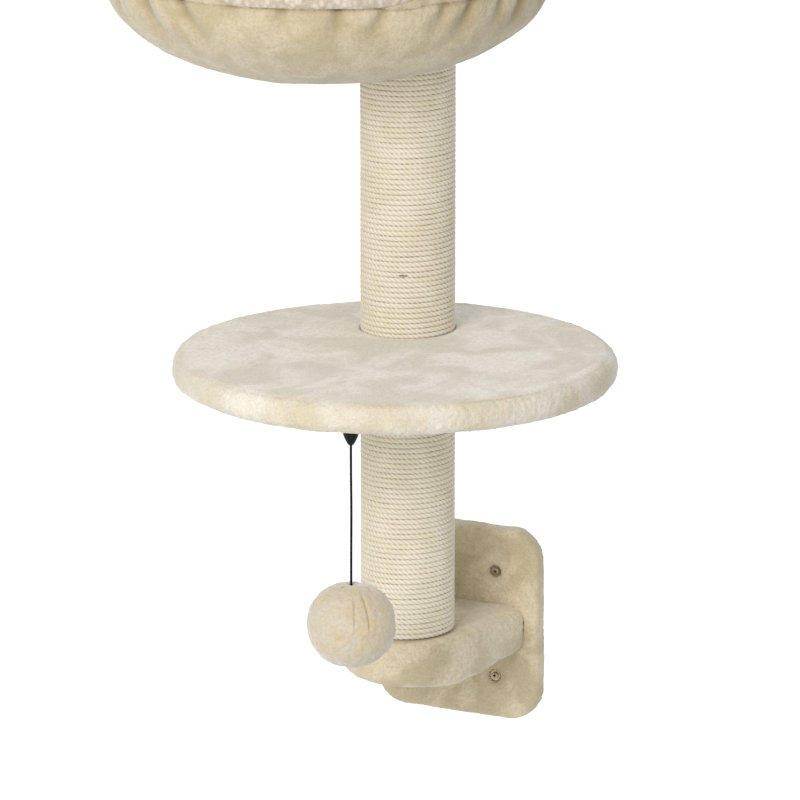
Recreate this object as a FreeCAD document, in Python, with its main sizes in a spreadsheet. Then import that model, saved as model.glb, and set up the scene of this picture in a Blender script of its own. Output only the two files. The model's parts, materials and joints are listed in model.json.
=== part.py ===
"""Wall mounted cat tree: a plush wall bracket, two sisal posts, a round platform with a hanging toy, and a bowl.

Millimetres. Origin: centre of the wall plate's back, on the wall. +X right facing the wall, +Y into the wall, +Z up.
"""
import FreeCAD, Part
import math
import os
from FreeCAD import Rotation, Vector
from Sketcher import Constraint

SIZES = [
    # wall bracket
    ("plate_width", 230, "wall plate over its plush"),
    ("plate_height", 255, "wall plate over its plush"),
    ("plate_corner", 41, "corner radius of the wall plate"),
    ("plate_board_thick", 20, "board of the wall plate"),
    ("plate_edge_round", 9, "rounding of the wall plate's front edge"),
    ("cover_thick", 4, "plush fabric with its nap"),
    ("soft_gap", 0.3, "room between soft layers"),
    ("fit_gap", 0.1, "room round a fastener in its hole"),
    ("shelf_half_width", 96, "shelf over its plush, where its nose begins"),
    ("shelf_nose_radius", 91, "round nose of the shelf"),
    ("shelf_nose_reach", 149, "wall to the centre of the shelf's nose"),
    ("shelf_block_thick", 55, "laminated block of the shelf"),
    ("shelf_drop", 3.5, "middle of the shelf under the middle of the plate"),
    ("shelf_edge_round", 18, "rounding of the shelf's long edges"),
    ("wall_screw_span_x", 110, "between wall screws, across"),
    ("wall_screw_span_z", 141, "between wall screws, up"),
    ("wall_screw_dia", 5, "thread of a wall screw"),
    ("wall_screw_neck_dia", 4, "smooth neck of a wall screw, through the board"),
    ("wall_screw_depth", 40, "wall screw in the wall, with its point"),
    ("wall_screw_point", 6, "point of a wall screw"),
    ("wall_screw_head_dia", 9, "pan head of a wall screw"),
    ("wall_screw_head_high", 2.6, "pan head of a wall screw"),
    ("wall_washer_dia", 14, "washer under a wall screw's head"),
    ("wall_washer_thick", 1.2, "washer under a wall screw's head"),
    ("shelf_screw_span_x", 100, "between the screws that hold the shelf, across"),
    ("shelf_screw_span_z", 28, "between the screws that hold the shelf, up"),
    ("shelf_screw_dia", 5, "shank of a shelf screw"),
    ("shelf_screw_length", 70, "shelf screw with its head and point"),
    ("shelf_screw_head_dia", 10, "countersunk head of a shelf screw"),
    ("shelf_screw_head_high", 3, "countersunk head of a shelf screw"),
    ("cover_staple_length", 14, "crown of a staple in the shelf's cover"),
    ("cover_staple_off_plate", 2.4, "plate's plush to the middle of that staple's wire"),
    ("cover_staple_level", 6, "middle of that staple over the shelf's middle"),
    ("staple_wire", 1.2, "wire of every staple"),
    ("staple_leg", 6, "leg of every staple"),
    # posts
    ("post_reach", 170, "wall to the posts' axis"),
    ("tube_radius", 53.6, "outside of a post's card tube"),
    ("tube_wall", 5, "wall of a post's card tube"),
    ("lower_post_length", 355, "lower tube"),
    ("upper_post_length", 404, "upper tube"),
    ("plug_thick", 20, "wooden plug in a tube's end"),
    ("insert_radius", 6, "threaded insert in a plug"),
    ("insert_length", 15, "threaded insert in a plug"),
    ("bolt_dia", 8, "bolts and stud through the posts"),
    ("bolt_grip", 14, "thread inside an insert"),
    ("bolt_head_across", 13, "hexagon head across its flats"),
    ("bolt_head_high", 5.3, "hexagon head"),
    ("bolt_washer_dia", 24, "washer under the shelf"),
    ("bolt_washer_thick", 1.6, "washers on the bolts"),
    ("bolt_hole_room", 1, "bolt hole over its bolt"),
    ("rope_dia", 6.1, "sisal rope"),
    ("rope_pitch", 6.6, "rise of one turn of rope"),
    ("rope_seat", 0.3, "rope off its tube"),
    ("rope_most_turns", 24, "turns in one length of rope"),
    ("rope_join_rise", 99, "visible rope join over the foot of the upper tube"),
    ("rope_join_angle", -70, "direction of the visible rope join, degrees from +X"),
    ("rope_staple_crown", 10, "crown of a rope staple"),
    # platform
    ("platform_radius", 277, "platform over its plush"),
    ("platform_x", 36, "platform's centre beside the posts' axis"),
    ("platform_wall_gap", 6, "platform's edge to the wall"),
    ("platform_board_thick", 18, "board of the platform"),
    ("platform_foam_thick", 14, "foam over the platform's board"),
    ("platform_edge_round", 17, "rounding of the platform's edge"),
    ("post_hole_room", 0.6, "soft parts round the posts' rope"),
    # bowl
    ("bowl_radius", 270, "widest part of the bowl"),
    ("bowl_depth", 117, "lowest point to the widest level"),
    ("bowl_hem_rise", 14, "widest level to the hem under the rim"),
    ("bowl_x", -53, "bowl's centre beside the posts' axis"),
    ("bowl_wall_gap", 19, "bowl's widest part to the wall"),
    ("bowl_belly", 44, "lowest point under the seat of the base board"),
    ("bowl_cover_thick", 5, "gathered plush of the bowl"),
    ("bowl_foam_thick", 18, "foam in the bowl's side"),
    ("bowl_board_margin", 78, "bowl's widest part beyond its base board"),
    ("bowl_board_thick", 18, "base board"),
    ("bowl_floor_margin", 4, "floor of the bowl beyond its base board"),
    ("lining_thick", 6, "lambswool with its backing"),
    ("rim_width", 44, "padded rim roll"),
    ("rim_height", 44, "padded rim roll"),
    ("rim_wire_dia", 6, "steel ring in the rim"),
    ("rim_wire_room", 2, "tunnel in the rim round its steel ring"),
    ("cushion_room", 3, "lining to the side of the loose cushion"),
    ("cushion_edge", 34, "loose cushion at its edge"),
    ("cushion_crown", 50, "loose cushion at its middle"),
    ("cushion_round", 14, "rounding of the cushion's upper edge"),
    ("bowl_washer_dia", 17, "washer under the bowl bolt"),
    ("bowl_bolt_head_dia", 14, "low round head of the bowl bolt"),
    ("bowl_bolt_head_high", 4.4, "low round head of the bowl bolt"),
    # toy
    ("toy_side", 45.4, "toy beside the platform's centre"),
    ("toy_edge_margin", 60, "toy behind the platform's front edge"),
    ("holder_height", 24, "toy holder under the platform"),
    ("holder_radius", 11.6, "toy holder at its top"),
    ("holder_mouth_radius", 3.4, "toy holder at its mouth"),
    ("holder_bore_radius", 2.6, "hole for the cord"),
    ("holder_flange_high", 4.8, "straight flare at the holder's top"),
    ("holder_flange_radius", 10.8, "holder where the flare starts"),
    ("holder_waist_level", 10.1, "holder's waist over its mouth"),
    ("holder_waist_radius", 8.6, "holder at its waist"),
    ("holder_throat", 5.8, "bore's length"),
    ("holder_chamber_level", 10.1, "hollow of the holder over its mouth"),
    ("holder_ledge", 1.6, "ledge under the disc inside the holder"),
    ("holder_base_radius", 8.8, "disc that the holder snaps on"),
    ("holder_base_thick", 4, "disc that the holder snaps on"),
    ("holder_screw_dia", 3.5, "screw of the toy holder"),
    ("holder_screw_length", 22, "screw of the toy holder, with its head"),
    ("cord_dia", 3, "toy's cord"),
    ("cord_bend_radius", 1.9, "cord where it bends at the mouth"),
    ("cord_bend_drop", 1, "holder's mouth to the middle of the cord's bend"),
    ("cord_stop_radius", 3.2, "knot inside the holder"),
    ("toy_drop", 227, "mouth of the holder to the ball's centre"),
    ("ball_radius", 54, "ball across"),
    ("ball_half_height", 51, "ball up"),
    ("ball_cover_thick", 4, "plush of the ball"),
    ("ball_gather_radius", 6, "flat gathers at the ball's top and bottom"),
    ("end_knot_radius", 4, "knot inside the ball"),
]

doc = FreeCAD.newDocument("WallCatTree")
sheet = doc.addObject("Spreadsheet::Sheet", "Dims")
for row, (alias, size, meaning) in enumerate(SIZES, 1):
    sheet.set("A%d" % row, meaning)
    sheet.set("B%d" % row, str(size))
    sheet.setAlias("B%d" % row, alias)
doc.recompute()

# Places that several pieces share, as expressions of the driving sizes.
PLATE_THICK = "(Dims.plate_board_thick + Dims.cover_thick)"
PLATE_FRONT = "(-%s)" % PLATE_THICK
BOARD_FRONT = "(-Dims.plate_board_thick)"
POST_Y = "(-Dims.post_reach)"
ROPE_OUTSIDE = "(Dims.tube_radius + Dims.rope_seat + Dims.rope_dia)"
POST_HOLE = "(%s + Dims.post_hole_room)" % ROPE_OUTSIDE
BLOCK_TOP = "(Dims.shelf_block_thick / 2 - Dims.shelf_drop)"
BLOCK_FOOT = "(-Dims.shelf_block_thick / 2 - Dims.shelf_drop)"
SHELF_TOP = "(%s + Dims.cover_thick)" % BLOCK_TOP
SHELF_FOOT = "(%s - Dims.cover_thick)" % BLOCK_FOOT
PLATFORM_FOOT = "(%s + Dims.lower_post_length)" % SHELF_TOP
PLATFORM_BOARD_FOOT = "(%s + Dims.cover_thick)" % PLATFORM_FOOT
UPPER_SEAT = "(%s + Dims.platform_board_thick)" % PLATFORM_BOARD_FOOT
PLATFORM_FOAM_TOP = "(%s + Dims.platform_foam_thick)" % UPPER_SEAT
PLATFORM_Y = "(-Dims.platform_wall_gap - Dims.platform_radius)"
BOWL_SEAT = "(%s + Dims.upper_post_length)" % UPPER_SEAT
BOWL_FLOOR = "(%s + Dims.bowl_board_thick)" % BOWL_SEAT
BOWL_WIDEST = "(%s - Dims.bowl_belly + Dims.bowl_depth)" % BOWL_SEAT
BOWL_Y = "(-Dims.bowl_wall_gap - Dims.bowl_radius)"
TOY_X = "(Dims.platform_x + Dims.toy_side)"
TOY_Y = "(%s - Dims.platform_radius + Dims.toy_edge_margin)" % PLATFORM_Y
MOUTH_Z = "(%s - Dims.holder_height)" % PLATFORM_FOOT
PIVOT_Z = "(%s - Dims.cord_bend_drop)" % MOUTH_Z
BALL_Z = "(%s - Dims.toy_drop)" % MOUTH_Z

UP = Rotation()
DOWN = Rotation(Vector(1, 0, 0), 180)
INTO_WALL = Rotation(Vector(1, 0, 0), -90)


def size(expression):
    """The number that an expression of the driving sizes gives now."""
    return float(sheet.evalExpression(expression))


def bind(thing, **expressions):
    """Bind properties of a document object to expressions."""
    for name, expression in expressions.items():
        thing.setExpression(name, str(expression))


def put(thing, x="0", y="0", z="0", turn=UP):
    """Place a document object, its position bound to expressions."""
    thing.Placement = FreeCAD.Placement(Vector(), turn)
    for letter, expression in zip("xyz", (x, y, z)):
        thing.setExpression(".Placement.Base." + letter, str(expression))
    return thing


def rod(name, radius, length, x="0", y="0", z="0", turn=UP):
    """A round rod that starts at a point and runs along the turned Z axis."""
    piece = doc.addObject("Part::Cylinder", name)
    bind(piece, Radius=radius, Height=length)
    return put(piece, x, y, z, turn)


def taper(name, start_radius, end_radius, length, x="0", y="0", z="0", turn=UP):
    """A cone from one radius to another."""
    piece = doc.addObject("Part::Cone", name)
    bind(piece, Radius1=start_radius, Radius2=end_radius, Height=length)
    return put(piece, x, y, z, turn)


def ball(name, radius, x, y, z):
    """A sphere about a point."""
    piece = doc.addObject("Part::Sphere", name)
    bind(piece, Radius=radius)
    return put(piece, x, y, z)


def join(label, *pieces):
    """Pieces made as one solid."""
    whole = doc.addObject("Part::MultiFuse", label)
    whole.Shapes = list(pieces)
    return whole


def group(label, *pieces):
    """Like pieces that share a node as separate solids."""
    whole = doc.addObject("Part::Compound", label)
    whole.Links = list(pieces)
    return whole


def carve(label, base, *tools):
    """A piece with one or more others taken away."""
    tool = tools[0] if len(tools) == 1 else join(label + "_holes", *tools)
    whole = doc.addObject("Part::Cut", label)
    whole.Base = base
    whole.Tool = tool
    return whole


def made(label, shape, x=0.0, y=0.0, z=0.0):
    """A piece whose shape comes from Part's own functions."""
    piece = doc.addObject("Part::Feature", label)
    piece.Shape = shape
    piece.Placement.Base = Vector(x, y, z)
    return piece


# ---------------------------------------------------------------- sketched bodies

def plane_of(body, role):
    return [part for part in body.Origin.OriginFeatures if part.Role == role][0]


def sketch_on(body, name, role, offset="0"):
    """A sketch on one of a body's own planes, moved along the plane's normal."""
    sketch = body.newObject("Sketcher::SketchObject", name)
    sketch.AttachmentSupport = [(plane_of(body, role), "")]
    sketch.MapMode = "FlatFace"
    sketch.setExpression(".AttachmentOffset.Base.z", offset)
    return sketch


def name_constraint(sketch, constraint, name, expression):
    """Add a constraint and bind it to an expression."""
    index = sketch.addConstraint(constraint)
    sketch.renameConstraint(index, name)
    sketch.setExpression("Constraints." + name, expression)


def centred_rectangle(sketch, width, height):
    """A rectangle about the sketch's origin."""
    half_x, half_y = size(width) / 2, size(height) / 2
    corners = [Vector(-half_x, -half_y, 0), Vector(half_x, -half_y, 0),
               Vector(half_x, half_y, 0), Vector(-half_x, half_y, 0)]
    for start, end in zip(corners, corners[1:] + corners[:1]):
        sketch.addGeometry(Part.LineSegment(start, end))
    for edge in range(4):
        sketch.addConstraint(Constraint("Coincident", edge, 2, (edge + 1) % 4, 1))
        sketch.addConstraint(Constraint("Vertical" if edge % 2 else "Horizontal", edge))
    sketch.addConstraint(Constraint("Symmetric", 0, 1, 2, 1, -1, 1))
    name_constraint(sketch, Constraint("DistanceX", 0, 1, 0, 2, 2 * half_x), "across", width)
    name_constraint(sketch, Constraint("DistanceY", 1, 1, 1, 2, 2 * half_y), "along", height)


def tongue_outline(sketch, half_width, nose_radius):
    """The shelf seen from above: flat on the wall plate, with a round nose."""
    half, nose = size(half_width), size(nose_radius)
    back, middle = size(PLATE_FRONT), -size("Dims.shelf_nose_reach")
    sketch.addGeometry(Part.LineSegment(Vector(half, back, 0), Vector(-half, back, 0)))
    sketch.addGeometry(Part.LineSegment(Vector(-half, back, 0), Vector(-nose, middle, 0)))
    nose_circle = Part.Circle(Vector(0, middle, 0), Vector(0, 0, 1), nose)
    sketch.addGeometry(Part.ArcOfCircle(nose_circle, math.pi, 2 * math.pi))
    sketch.addGeometry(Part.LineSegment(Vector(nose, middle, 0), Vector(half, back, 0)))
    sketch.addConstraint(Constraint("Coincident", 0, 2, 1, 1))
    sketch.addConstraint(Constraint("Coincident", 3, 2, 0, 1))
    sketch.addConstraint(Constraint("Symmetric", 0, 1, 0, 2, -2))
    sketch.addConstraint(Constraint("Tangent", 1, 2, 2, 1))
    sketch.addConstraint(Constraint("Tangent", 2, 2, 3, 1))
    sketch.addConstraint(Constraint("PointOnObject", 2, 3, -2))
    name_constraint(sketch, Constraint("DistanceX", 0, 2, 0, 1, 2 * half), "wall_side", "2 * (%s)" % half_width)
    name_constraint(sketch, Constraint("DistanceY", 0, 1, -1, 1, -back), "set_off", PLATE_THICK)
    name_constraint(sketch, Constraint("Radius", 2, nose), "nose", nose_radius)
    name_constraint(sketch, Constraint("DistanceY", 2, 3, -1, 1, -middle), "reach", "Dims.shelf_nose_reach")


def edges_where(shape, test):
    """Names of the edges whose points all pass a test."""
    names = []
    for number, edge in enumerate(shape.Edges, 1):
        if all(test(point) for point in edge.discretize(3)):
            names.append("Edge%d" % number)
    return names


def fillet(body, name, test, radius):
    """Round the edges of a body's last feature that pass a test."""
    doc.recompute()
    base = body.Tip
    feature = body.newObject("PartDesign::Fillet", name)
    feature.Base = (base, edges_where(base.Shape, test))
    bind(feature, Radius=radius)


def plate_slab(label, inset, thick, round_front):
    """The wall plate's outline, drawn in by an inset, from the wall outwards."""
    width = "Dims.plate_width - 2 * (%s)" % inset
    height = "Dims.plate_height - 2 * (%s)" % inset
    body = doc.addObject("PartDesign::Body", label)
    sketch = sketch_on(body, label + "_sketch", "XZ_Plane")
    centred_rectangle(sketch, width, height)
    pad = body.newObject("PartDesign::Pad", label + "_pad")
    pad.Profile = sketch
    bind(pad, Length=thick)
    half_x, half_z = size(width) / 2, size(height) / 2
    close = 0.01
    fillet(body, label + "_corners",
           lambda p: abs(abs(p.x) - half_x) < close and abs(abs(p.z) - half_z) < close,
           "Dims.plate_corner - (%s)" % inset)
    if round_front:
        front = -size(thick)
        fillet(body, label + "_front", lambda p: abs(p.y - front) < close, round_front)
    return body


def shelf_slab(label, inset, foot, thick, round_edges):
    """The shelf's outline, drawn in by an inset, with rounded long edges."""
    body = doc.addObject("PartDesign::Body", label)
    sketch = sketch_on(body, label + "_sketch", "XY_Plane", foot)
    tongue_outline(sketch, "Dims.shelf_half_width - (%s)" % inset, "Dims.shelf_nose_radius - (%s)" % inset)
    pad = body.newObject("PartDesign::Pad", label + "_pad")
    pad.Profile = sketch
    bind(pad, Length=thick)
    low, back = size(foot), size(PLATE_FRONT)
    high = low + size(thick)
    close = 0.01

    def long_edge(p):
        return min(abs(p.z - low), abs(p.z - high)) < close

    doc.recompute()
    names = [name for name in edges_where(pad.Shape, long_edge)
             if any(p.y < back - 1 for p in pad.Shape.getElement(name).discretize(3))]
    feature = body.newObject("PartDesign::Fillet", label + "_rounding")
    feature.Base = (pad, names)
    bind(feature, Radius=round_edges)
    return body


def rounded_disc(label, radius, foot, thick, rounding, x, y):
    """A disc with both rims rounded."""
    body = doc.addObject("PartDesign::Body", label)
    sketch = sketch_on(body, label + "_sketch", "XY_Plane")
    sketch.addGeometry(Part.Circle(Vector(), Vector(0, 0, 1), size(radius)))
    sketch.addConstraint(Constraint("Coincident", 0, 3, -1, 1))
    name_constraint(sketch, Constraint("Radius", 0, size(radius)), "rim", radius)
    pad = body.newObject("PartDesign::Pad", label + "_pad")
    pad.Profile = sketch
    bind(pad, Length=thick)
    top = size(thick)
    close = 0.01
    fillet(body, label + "_rounding", lambda p: abs(p.z) < close or abs(p.z - top) < close, rounding)
    return put(body, x, y, foot)


# ---------------------------------------------------------------- fasteners

def corner_places(span_x, span_z):
    """The four corners of a rectangle about the origin, as expressions."""
    return [("%s Dims.%s / 2" % (side, span_x), "%s Dims.%s / 2" % (level, span_z))
            for side in ("-", "+") for level in ("-", "+")]


def wall_screws():
    """Four pan-head screws, each on a washer, that pass through the plate's board into the wall."""
    screws, washers, holes = [], [], []
    neck = "%s - Dims.wall_washer_thick" % BOARD_FRONT
    for index, (x, z) in enumerate(corner_places("wall_screw_span_x", "wall_screw_span_z")):
        tag = str(index)
        head = rod("wall_screw_head" + tag, "Dims.wall_screw_head_dia / 2", "Dims.wall_screw_head_high",
                   x, neck + " - Dims.wall_screw_head_high", z, INTO_WALL)
        smooth = rod("wall_screw_neck" + tag, "Dims.wall_screw_neck_dia / 2",
                     "Dims.plate_board_thick + Dims.wall_washer_thick", x, neck, z, INTO_WALL)
        shank = rod("wall_screw_shank" + tag, "Dims.wall_screw_dia / 2",
                    "Dims.wall_screw_depth - Dims.wall_screw_point", x, "0", z, INTO_WALL)
        point = taper("wall_screw_point" + tag, "Dims.wall_screw_dia / 2", "0", "Dims.wall_screw_point",
                      x, "Dims.wall_screw_depth - Dims.wall_screw_point", z, INTO_WALL)
        screws.append(join("wall_screw" + tag, head, smooth, shank, point))
        disc = rod("wall_washer_disc" + tag, "Dims.wall_washer_dia / 2", "Dims.wall_washer_thick",
                   x, neck, z, INTO_WALL)
        bore = rod("wall_washer_bore" + tag, "Dims.wall_screw_dia / 2 + Dims.fit_gap",
                   "Dims.wall_washer_thick", x, neck, z, INTO_WALL)
        washers.append(carve("wall_washer" + tag, disc, bore))
        holes.append((x, z))
    return group("wall_screws", *screws), group("wall_screw_washers", *washers), holes


def shelf_screws():
    """Four countersunk screws from the plate's back into the shelf's block."""
    screws = []
    shank_length = "Dims.shelf_screw_length - Dims.shelf_screw_head_high"
    for index, (x, z) in enumerate(corner_places("shelf_screw_span_x", "shelf_screw_span_z")):
        head = taper("shelf_screw_head%d" % index, "Dims.shelf_screw_dia / 2", "Dims.shelf_screw_head_dia / 2",
                     "Dims.shelf_screw_head_high", x, "-Dims.shelf_screw_head_high", z, INTO_WALL)
        shank = rod("shelf_screw_shank%d" % index, "Dims.shelf_screw_dia / 2", shank_length,
                    x, "-Dims.shelf_screw_length", z, INTO_WALL)
        screws.append(join("shelf_screw%d" % index, head, shank))
    return group("plate_to_shelf_screws", *screws)


def across_plate(prefix, places, radius, start, length):
    """Round holes along Y at each of several places."""
    return [rod("%s%d" % (prefix, index), radius, length, x, start, z, INTO_WALL)
            for index, (x, z) in enumerate(places)]


def staple(crown, leg, wire):
    """A flat-wire staple with its crown along Z on the plane X = 0 and its legs along -X."""
    bar = Part.makeBox(wire, wire, crown, Vector(0, -wire / 2, -crown / 2))
    legs = [Part.makeBox(leg, wire, wire, Vector(-leg, -wire / 2, level))
            for level in (-crown / 2, crown / 2 - wire)]
    return bar.fuse(legs).removeSplitter()


# ---------------------------------------------------------------- wall bracket

def wall_bracket():
    """The wall plate, its shelf and what holds them."""
    screws, washers, wall_places = wall_screws()
    shelf_places = corner_places("shelf_screw_span_x", "shelf_screw_span_z")
    through = "Dims.plate_board_thick + Dims.cover_thick + 2"
    behind = "%s - 1" % PLATE_FRONT

    board_blank = plate_slab("wall_plate_blank", "Dims.cover_thick + Dims.soft_gap", "Dims.plate_board_thick", "")
    screw_hole = "Dims.wall_screw_dia / 2 + Dims.fit_gap"
    sinks = [taper("shelf_screw_sink%d" % index, "Dims.shelf_screw_dia / 2 + Dims.fit_gap",
                   "Dims.shelf_screw_head_dia / 2 + Dims.fit_gap", "Dims.shelf_screw_head_high",
                   x, "-Dims.shelf_screw_head_high", z, INTO_WALL)
             for index, (x, z) in enumerate(shelf_places)]
    board = carve("wall_plate_board", board_blank,
                  *across_plate("board_wall_hole", wall_places, screw_hole, behind, through),
                  *across_plate("board_shelf_hole", shelf_places, "Dims.shelf_screw_dia / 2 + Dims.fit_gap",
                                behind, through),
                  *sinks)
    cover = carve("wall_plate_cover",
                  plate_slab("wall_plate_skin", "0", PLATE_THICK, "Dims.plate_edge_round"),
                  plate_slab("wall_plate_hollow", "Dims.cover_thick", "Dims.plate_board_thick", ""),
                  *across_plate("cover_wall_hole", wall_places, "Dims.wall_washer_dia / 2 + 2 * Dims.fit_gap",
                                behind, through),
                  *across_plate("cover_shelf_hole", shelf_places, "Dims.shelf_screw_dia / 2 + Dims.fit_gap",
                                behind, through))

    block_blank = shelf_slab("shelf_blank", "Dims.cover_thick + Dims.soft_gap", BLOCK_FOOT,
                             "Dims.shelf_block_thick", "Dims.shelf_edge_round - Dims.cover_thick")
    deep = "-Dims.shelf_screw_length - Dims.fit_gap"
    bolt_hole = "(Dims.bolt_dia + Dims.bolt_hole_room) / 2"
    block = carve("shelf_block", block_blank,
                  rod("block_bolt_hole", bolt_hole, "Dims.shelf_block_thick", "0", POST_Y, BLOCK_FOOT),
                  *across_plate("block_screw_hole", shelf_places, "Dims.shelf_screw_dia / 2 + Dims.fit_gap",
                                deep, "Dims.shelf_screw_length + Dims.fit_gap"))
    shelf_cover = carve("shelf_cover",
                        shelf_slab("shelf_skin", "0", SHELF_FOOT, "Dims.shelf_block_thick + 2 * Dims.cover_thick",
                                   "Dims.shelf_edge_round"),
                        shelf_slab("shelf_hollow", "Dims.cover_thick", BLOCK_FOOT, "Dims.shelf_block_thick",
                                   "Dims.shelf_edge_round - Dims.cover_thick"),
                        rod("cover_bolt_hole", bolt_hole, "2 * Dims.cover_thick", "0", POST_Y, BLOCK_TOP),
                        rod("cover_washer_hole", "Dims.bolt_washer_dia / 2 + Dims.bolt_hole_room",
                            "Dims.cover_thick", "0", POST_Y, SHELF_FOOT))
    side = size("Dims.shelf_half_width")
    near_wall = size(PLATE_FRONT) - size("Dims.cover_staple_off_plate")
    level = size("Dims.cover_staple_level - Dims.shelf_drop")
    one = staple(size("Dims.cover_staple_length"), size("Dims.staple_leg"), size("Dims.staple_wire"))
    right = one.translated(Vector(side, near_wall, level))
    left = one.rotated(Vector(), Vector(0, 0, 1), 180).translated(Vector(-side, near_wall, level))
    staples = made("cover_staples", Part.Compound([left, right]))
    return [board, cover, screws, washers, block, shelf_cover, shelf_screws(), staples]


# ---------------------------------------------------------------- posts

def biarc(start, end, start_way, end_way):
    """Two arcs with equal legs that join two points with given directions."""
    chord = end - start
    ways = start_way + end_way
    a = 2 * (start_way.dot(end_way) - 1)
    b = -2 * chord.dot(ways)
    c = chord.dot(chord)
    leg = (-b - math.sqrt(b * b - 4 * a * c)) / (2 * a)
    first, second = start + start_way * leg, end - end_way * leg
    middle = (first + second) * 0.5
    edges = []
    for tail, corner, tip in ((start, first, middle), (middle, second, end)):
        half_turn = ((corner - tail).getAngle(tip - corner)) / 2
        weight = math.cos(half_turn)
        crest = (tail + corner * (2 * weight) + tip) * (1 / (2 * (1 + weight)))
        edges.append(Part.Arc(tail, crest, tip).toShape())
    return edges


def helix_point(radius, pitch, turns):
    angle = 2 * math.pi * turns
    return Vector(radius * math.cos(angle), radius * math.sin(angle), pitch * turns)


def helix_way(radius, pitch, turns):
    angle = 2 * math.pi * turns
    way = Vector(-radius * math.sin(angle), radius * math.cos(angle), pitch / (2 * math.pi))
    return way.normalize()


def rope_path(radius, pitch, first_turn, last_turn, straight):
    """A helix of half-turn biarcs with a straight run at each end."""
    count = math.ceil((last_turn - first_turn) * 2)
    marks = [first_turn + (last_turn - first_turn) * index / count for index in range(count + 1)]
    points = [helix_point(radius, pitch, mark) for mark in marks]
    ways = [helix_way(radius, pitch, mark) for mark in marks]
    edges = [Part.LineSegment(points[0] - ways[0] * straight, points[0]).toShape()]
    for index in range(count):
        edges += biarc(points[index], points[index + 1], ways[index], ways[index + 1])
    edges.append(Part.LineSegment(points[-1], points[-1] + ways[-1] * straight).toShape())
    return Part.Wire(edges)


def least_gap(wire, radius, pitch, diameter, straight):
    """Smallest distance between neighbouring turns, measured on points of the path."""
    points = wire.discretize(Distance=radius / 4)
    turn_length = 2 * math.pi * radius
    step = wire.Length / (len(points) - 1)
    skip = int(0.6 * turn_length / step)
    reach = int(1.4 * turn_length / step)
    least = min(points[i].distanceToLine(points[j], points[j + 1] - points[j])
                for i in range(0, len(points), 3)
                for j in range(i + skip, min(i + reach, len(points) - 1)))
    return least - diameter


def rope_winding(label, foot, top, joins):
    """Sisal rope wound up a post, in lengths that end at each join, none over the most turns."""
    diameter, pitch = size("Dims.rope_dia"), size("Dims.rope_pitch")
    radius = size("Dims.tube_radius + Dims.rope_seat + Dims.rope_dia / 2")
    low = foot + diameter / 2 + size("Dims.soft_gap")
    turns = (top - foot - diameter - 2 * size("Dims.soft_gap")) / pitch
    levels = [0.0] + [(level - low) / pitch for level in joins] + [turns]
    marks = [0.0]
    for start, end in zip(levels, levels[1:]):
        parts = math.ceil((end - start) / size("Dims.rope_most_turns"))
        marks += [start + (end - start) * (part + 1) / parts for part in range(parts)]
    straight = diameter
    ends_gap = (2 * straight + diameter / 4) / (2 * math.pi * radius)
    solids, least = [], []
    for start, end in zip(marks, marks[1:]):
        path = rope_path(radius, pitch, start + ends_gap / 2, end - ends_gap / 2, straight)
        way = path.Edges[0].tangentAt(path.Edges[0].FirstParameter)
        ring = Part.Wire(Part.Circle(path.Edges[0].Vertexes[0].Point, way, diameter / 2).toShape())
        tube = path.makePipeShell([ring], True, False)
        expected = path.Length * math.pi * diameter ** 2 / 4
        if abs(tube.Volume / expected - 1) > 0.01:
            raise ValueError("%s: volume %.0f, expected %.0f" % (label, tube.Volume, expected))
        least.append(least_gap(path, radius, pitch, diameter, straight))
        solids.append(tube)
    print("%s: %d lengths, %.1f turns, least gap %.2f mm" % (label, len(solids), turns, min(least)))
    first_join_angle = size("Dims.rope_join_angle")
    first_join_turn = marks[1]
    spin = first_join_angle - 360 * first_join_turn
    winding = Part.Compound(solids)
    winding.rotate(Vector(), Vector(0, 0, 1), spin)
    half_staple = size("Dims.rope_staple_crown / 2 + Dims.soft_gap")
    places = [(min(max(low + pitch * mark, foot + half_staple), top - half_staple), spin + 360 * mark)
              for mark in marks]
    return made(label, winding, 0, size(POST_Y), low), places


def rope_staples(join, ends):
    """A staple along the rope over its visible join, and one across each hidden end."""
    one = staple(size("Dims.rope_staple_crown"), size("Dims.staple_leg"), size("Dims.staple_wire"))
    along = one.rotated(Vector(), Vector(1, 0, 0), 90)
    outside = size(ROPE_OUTSIDE)
    shapes = []
    for lying, (level, angle) in [(along, join)] + [(one, end) for end in ends]:
        piece = lying.translated(Vector(outside, 0, 0)).rotated(Vector(), Vector(0, 0, 1), angle)
        shapes.append(piece.translated(Vector(0, size(POST_Y), level)))
    return made("rope_staples", Part.Compound(shapes))


def post(name, foot, length):
    """A card tube with a wooden plug in each end and a threaded insert in each plug."""
    bore = "Dims.tube_radius - Dims.tube_wall"
    tube = carve(name + "_tube",
                 rod(name + "_tube_outside", "Dims.tube_radius", length, "0", POST_Y, foot),
                 rod(name + "_tube_bore", bore, length, "0", POST_Y, foot))
    ends = (("bottom", foot, foot),
            ("top", "%s + %s - Dims.plug_thick" % (foot, length), "%s + %s - Dims.insert_length" % (foot, length)))
    plugs, inserts = [], []
    for end, level, insert_level in ends:
        tag = "%s_%s" % (name, end)
        disc = rod(tag + "_disc", "Dims.tube_radius - Dims.tube_wall - Dims.fit_gap", "Dims.plug_thick",
                   "0", POST_Y, level)
        hole = rod(tag + "_hole", "Dims.insert_radius + Dims.fit_gap", "Dims.plug_thick", "0", POST_Y, level)
        plugs.append(carve(tag + "_plug", disc, hole))
        sleeve = rod(tag + "_sleeve", "Dims.insert_radius", "Dims.insert_length", "0", POST_Y, insert_level)
        thread = rod(tag + "_thread", "Dims.bolt_dia / 2 + Dims.fit_gap", "Dims.insert_length",
                     "0", POST_Y, insert_level)
        inserts.append(carve(tag + "_insert", sleeve, thread))
    return [tube] + plugs, inserts


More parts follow.
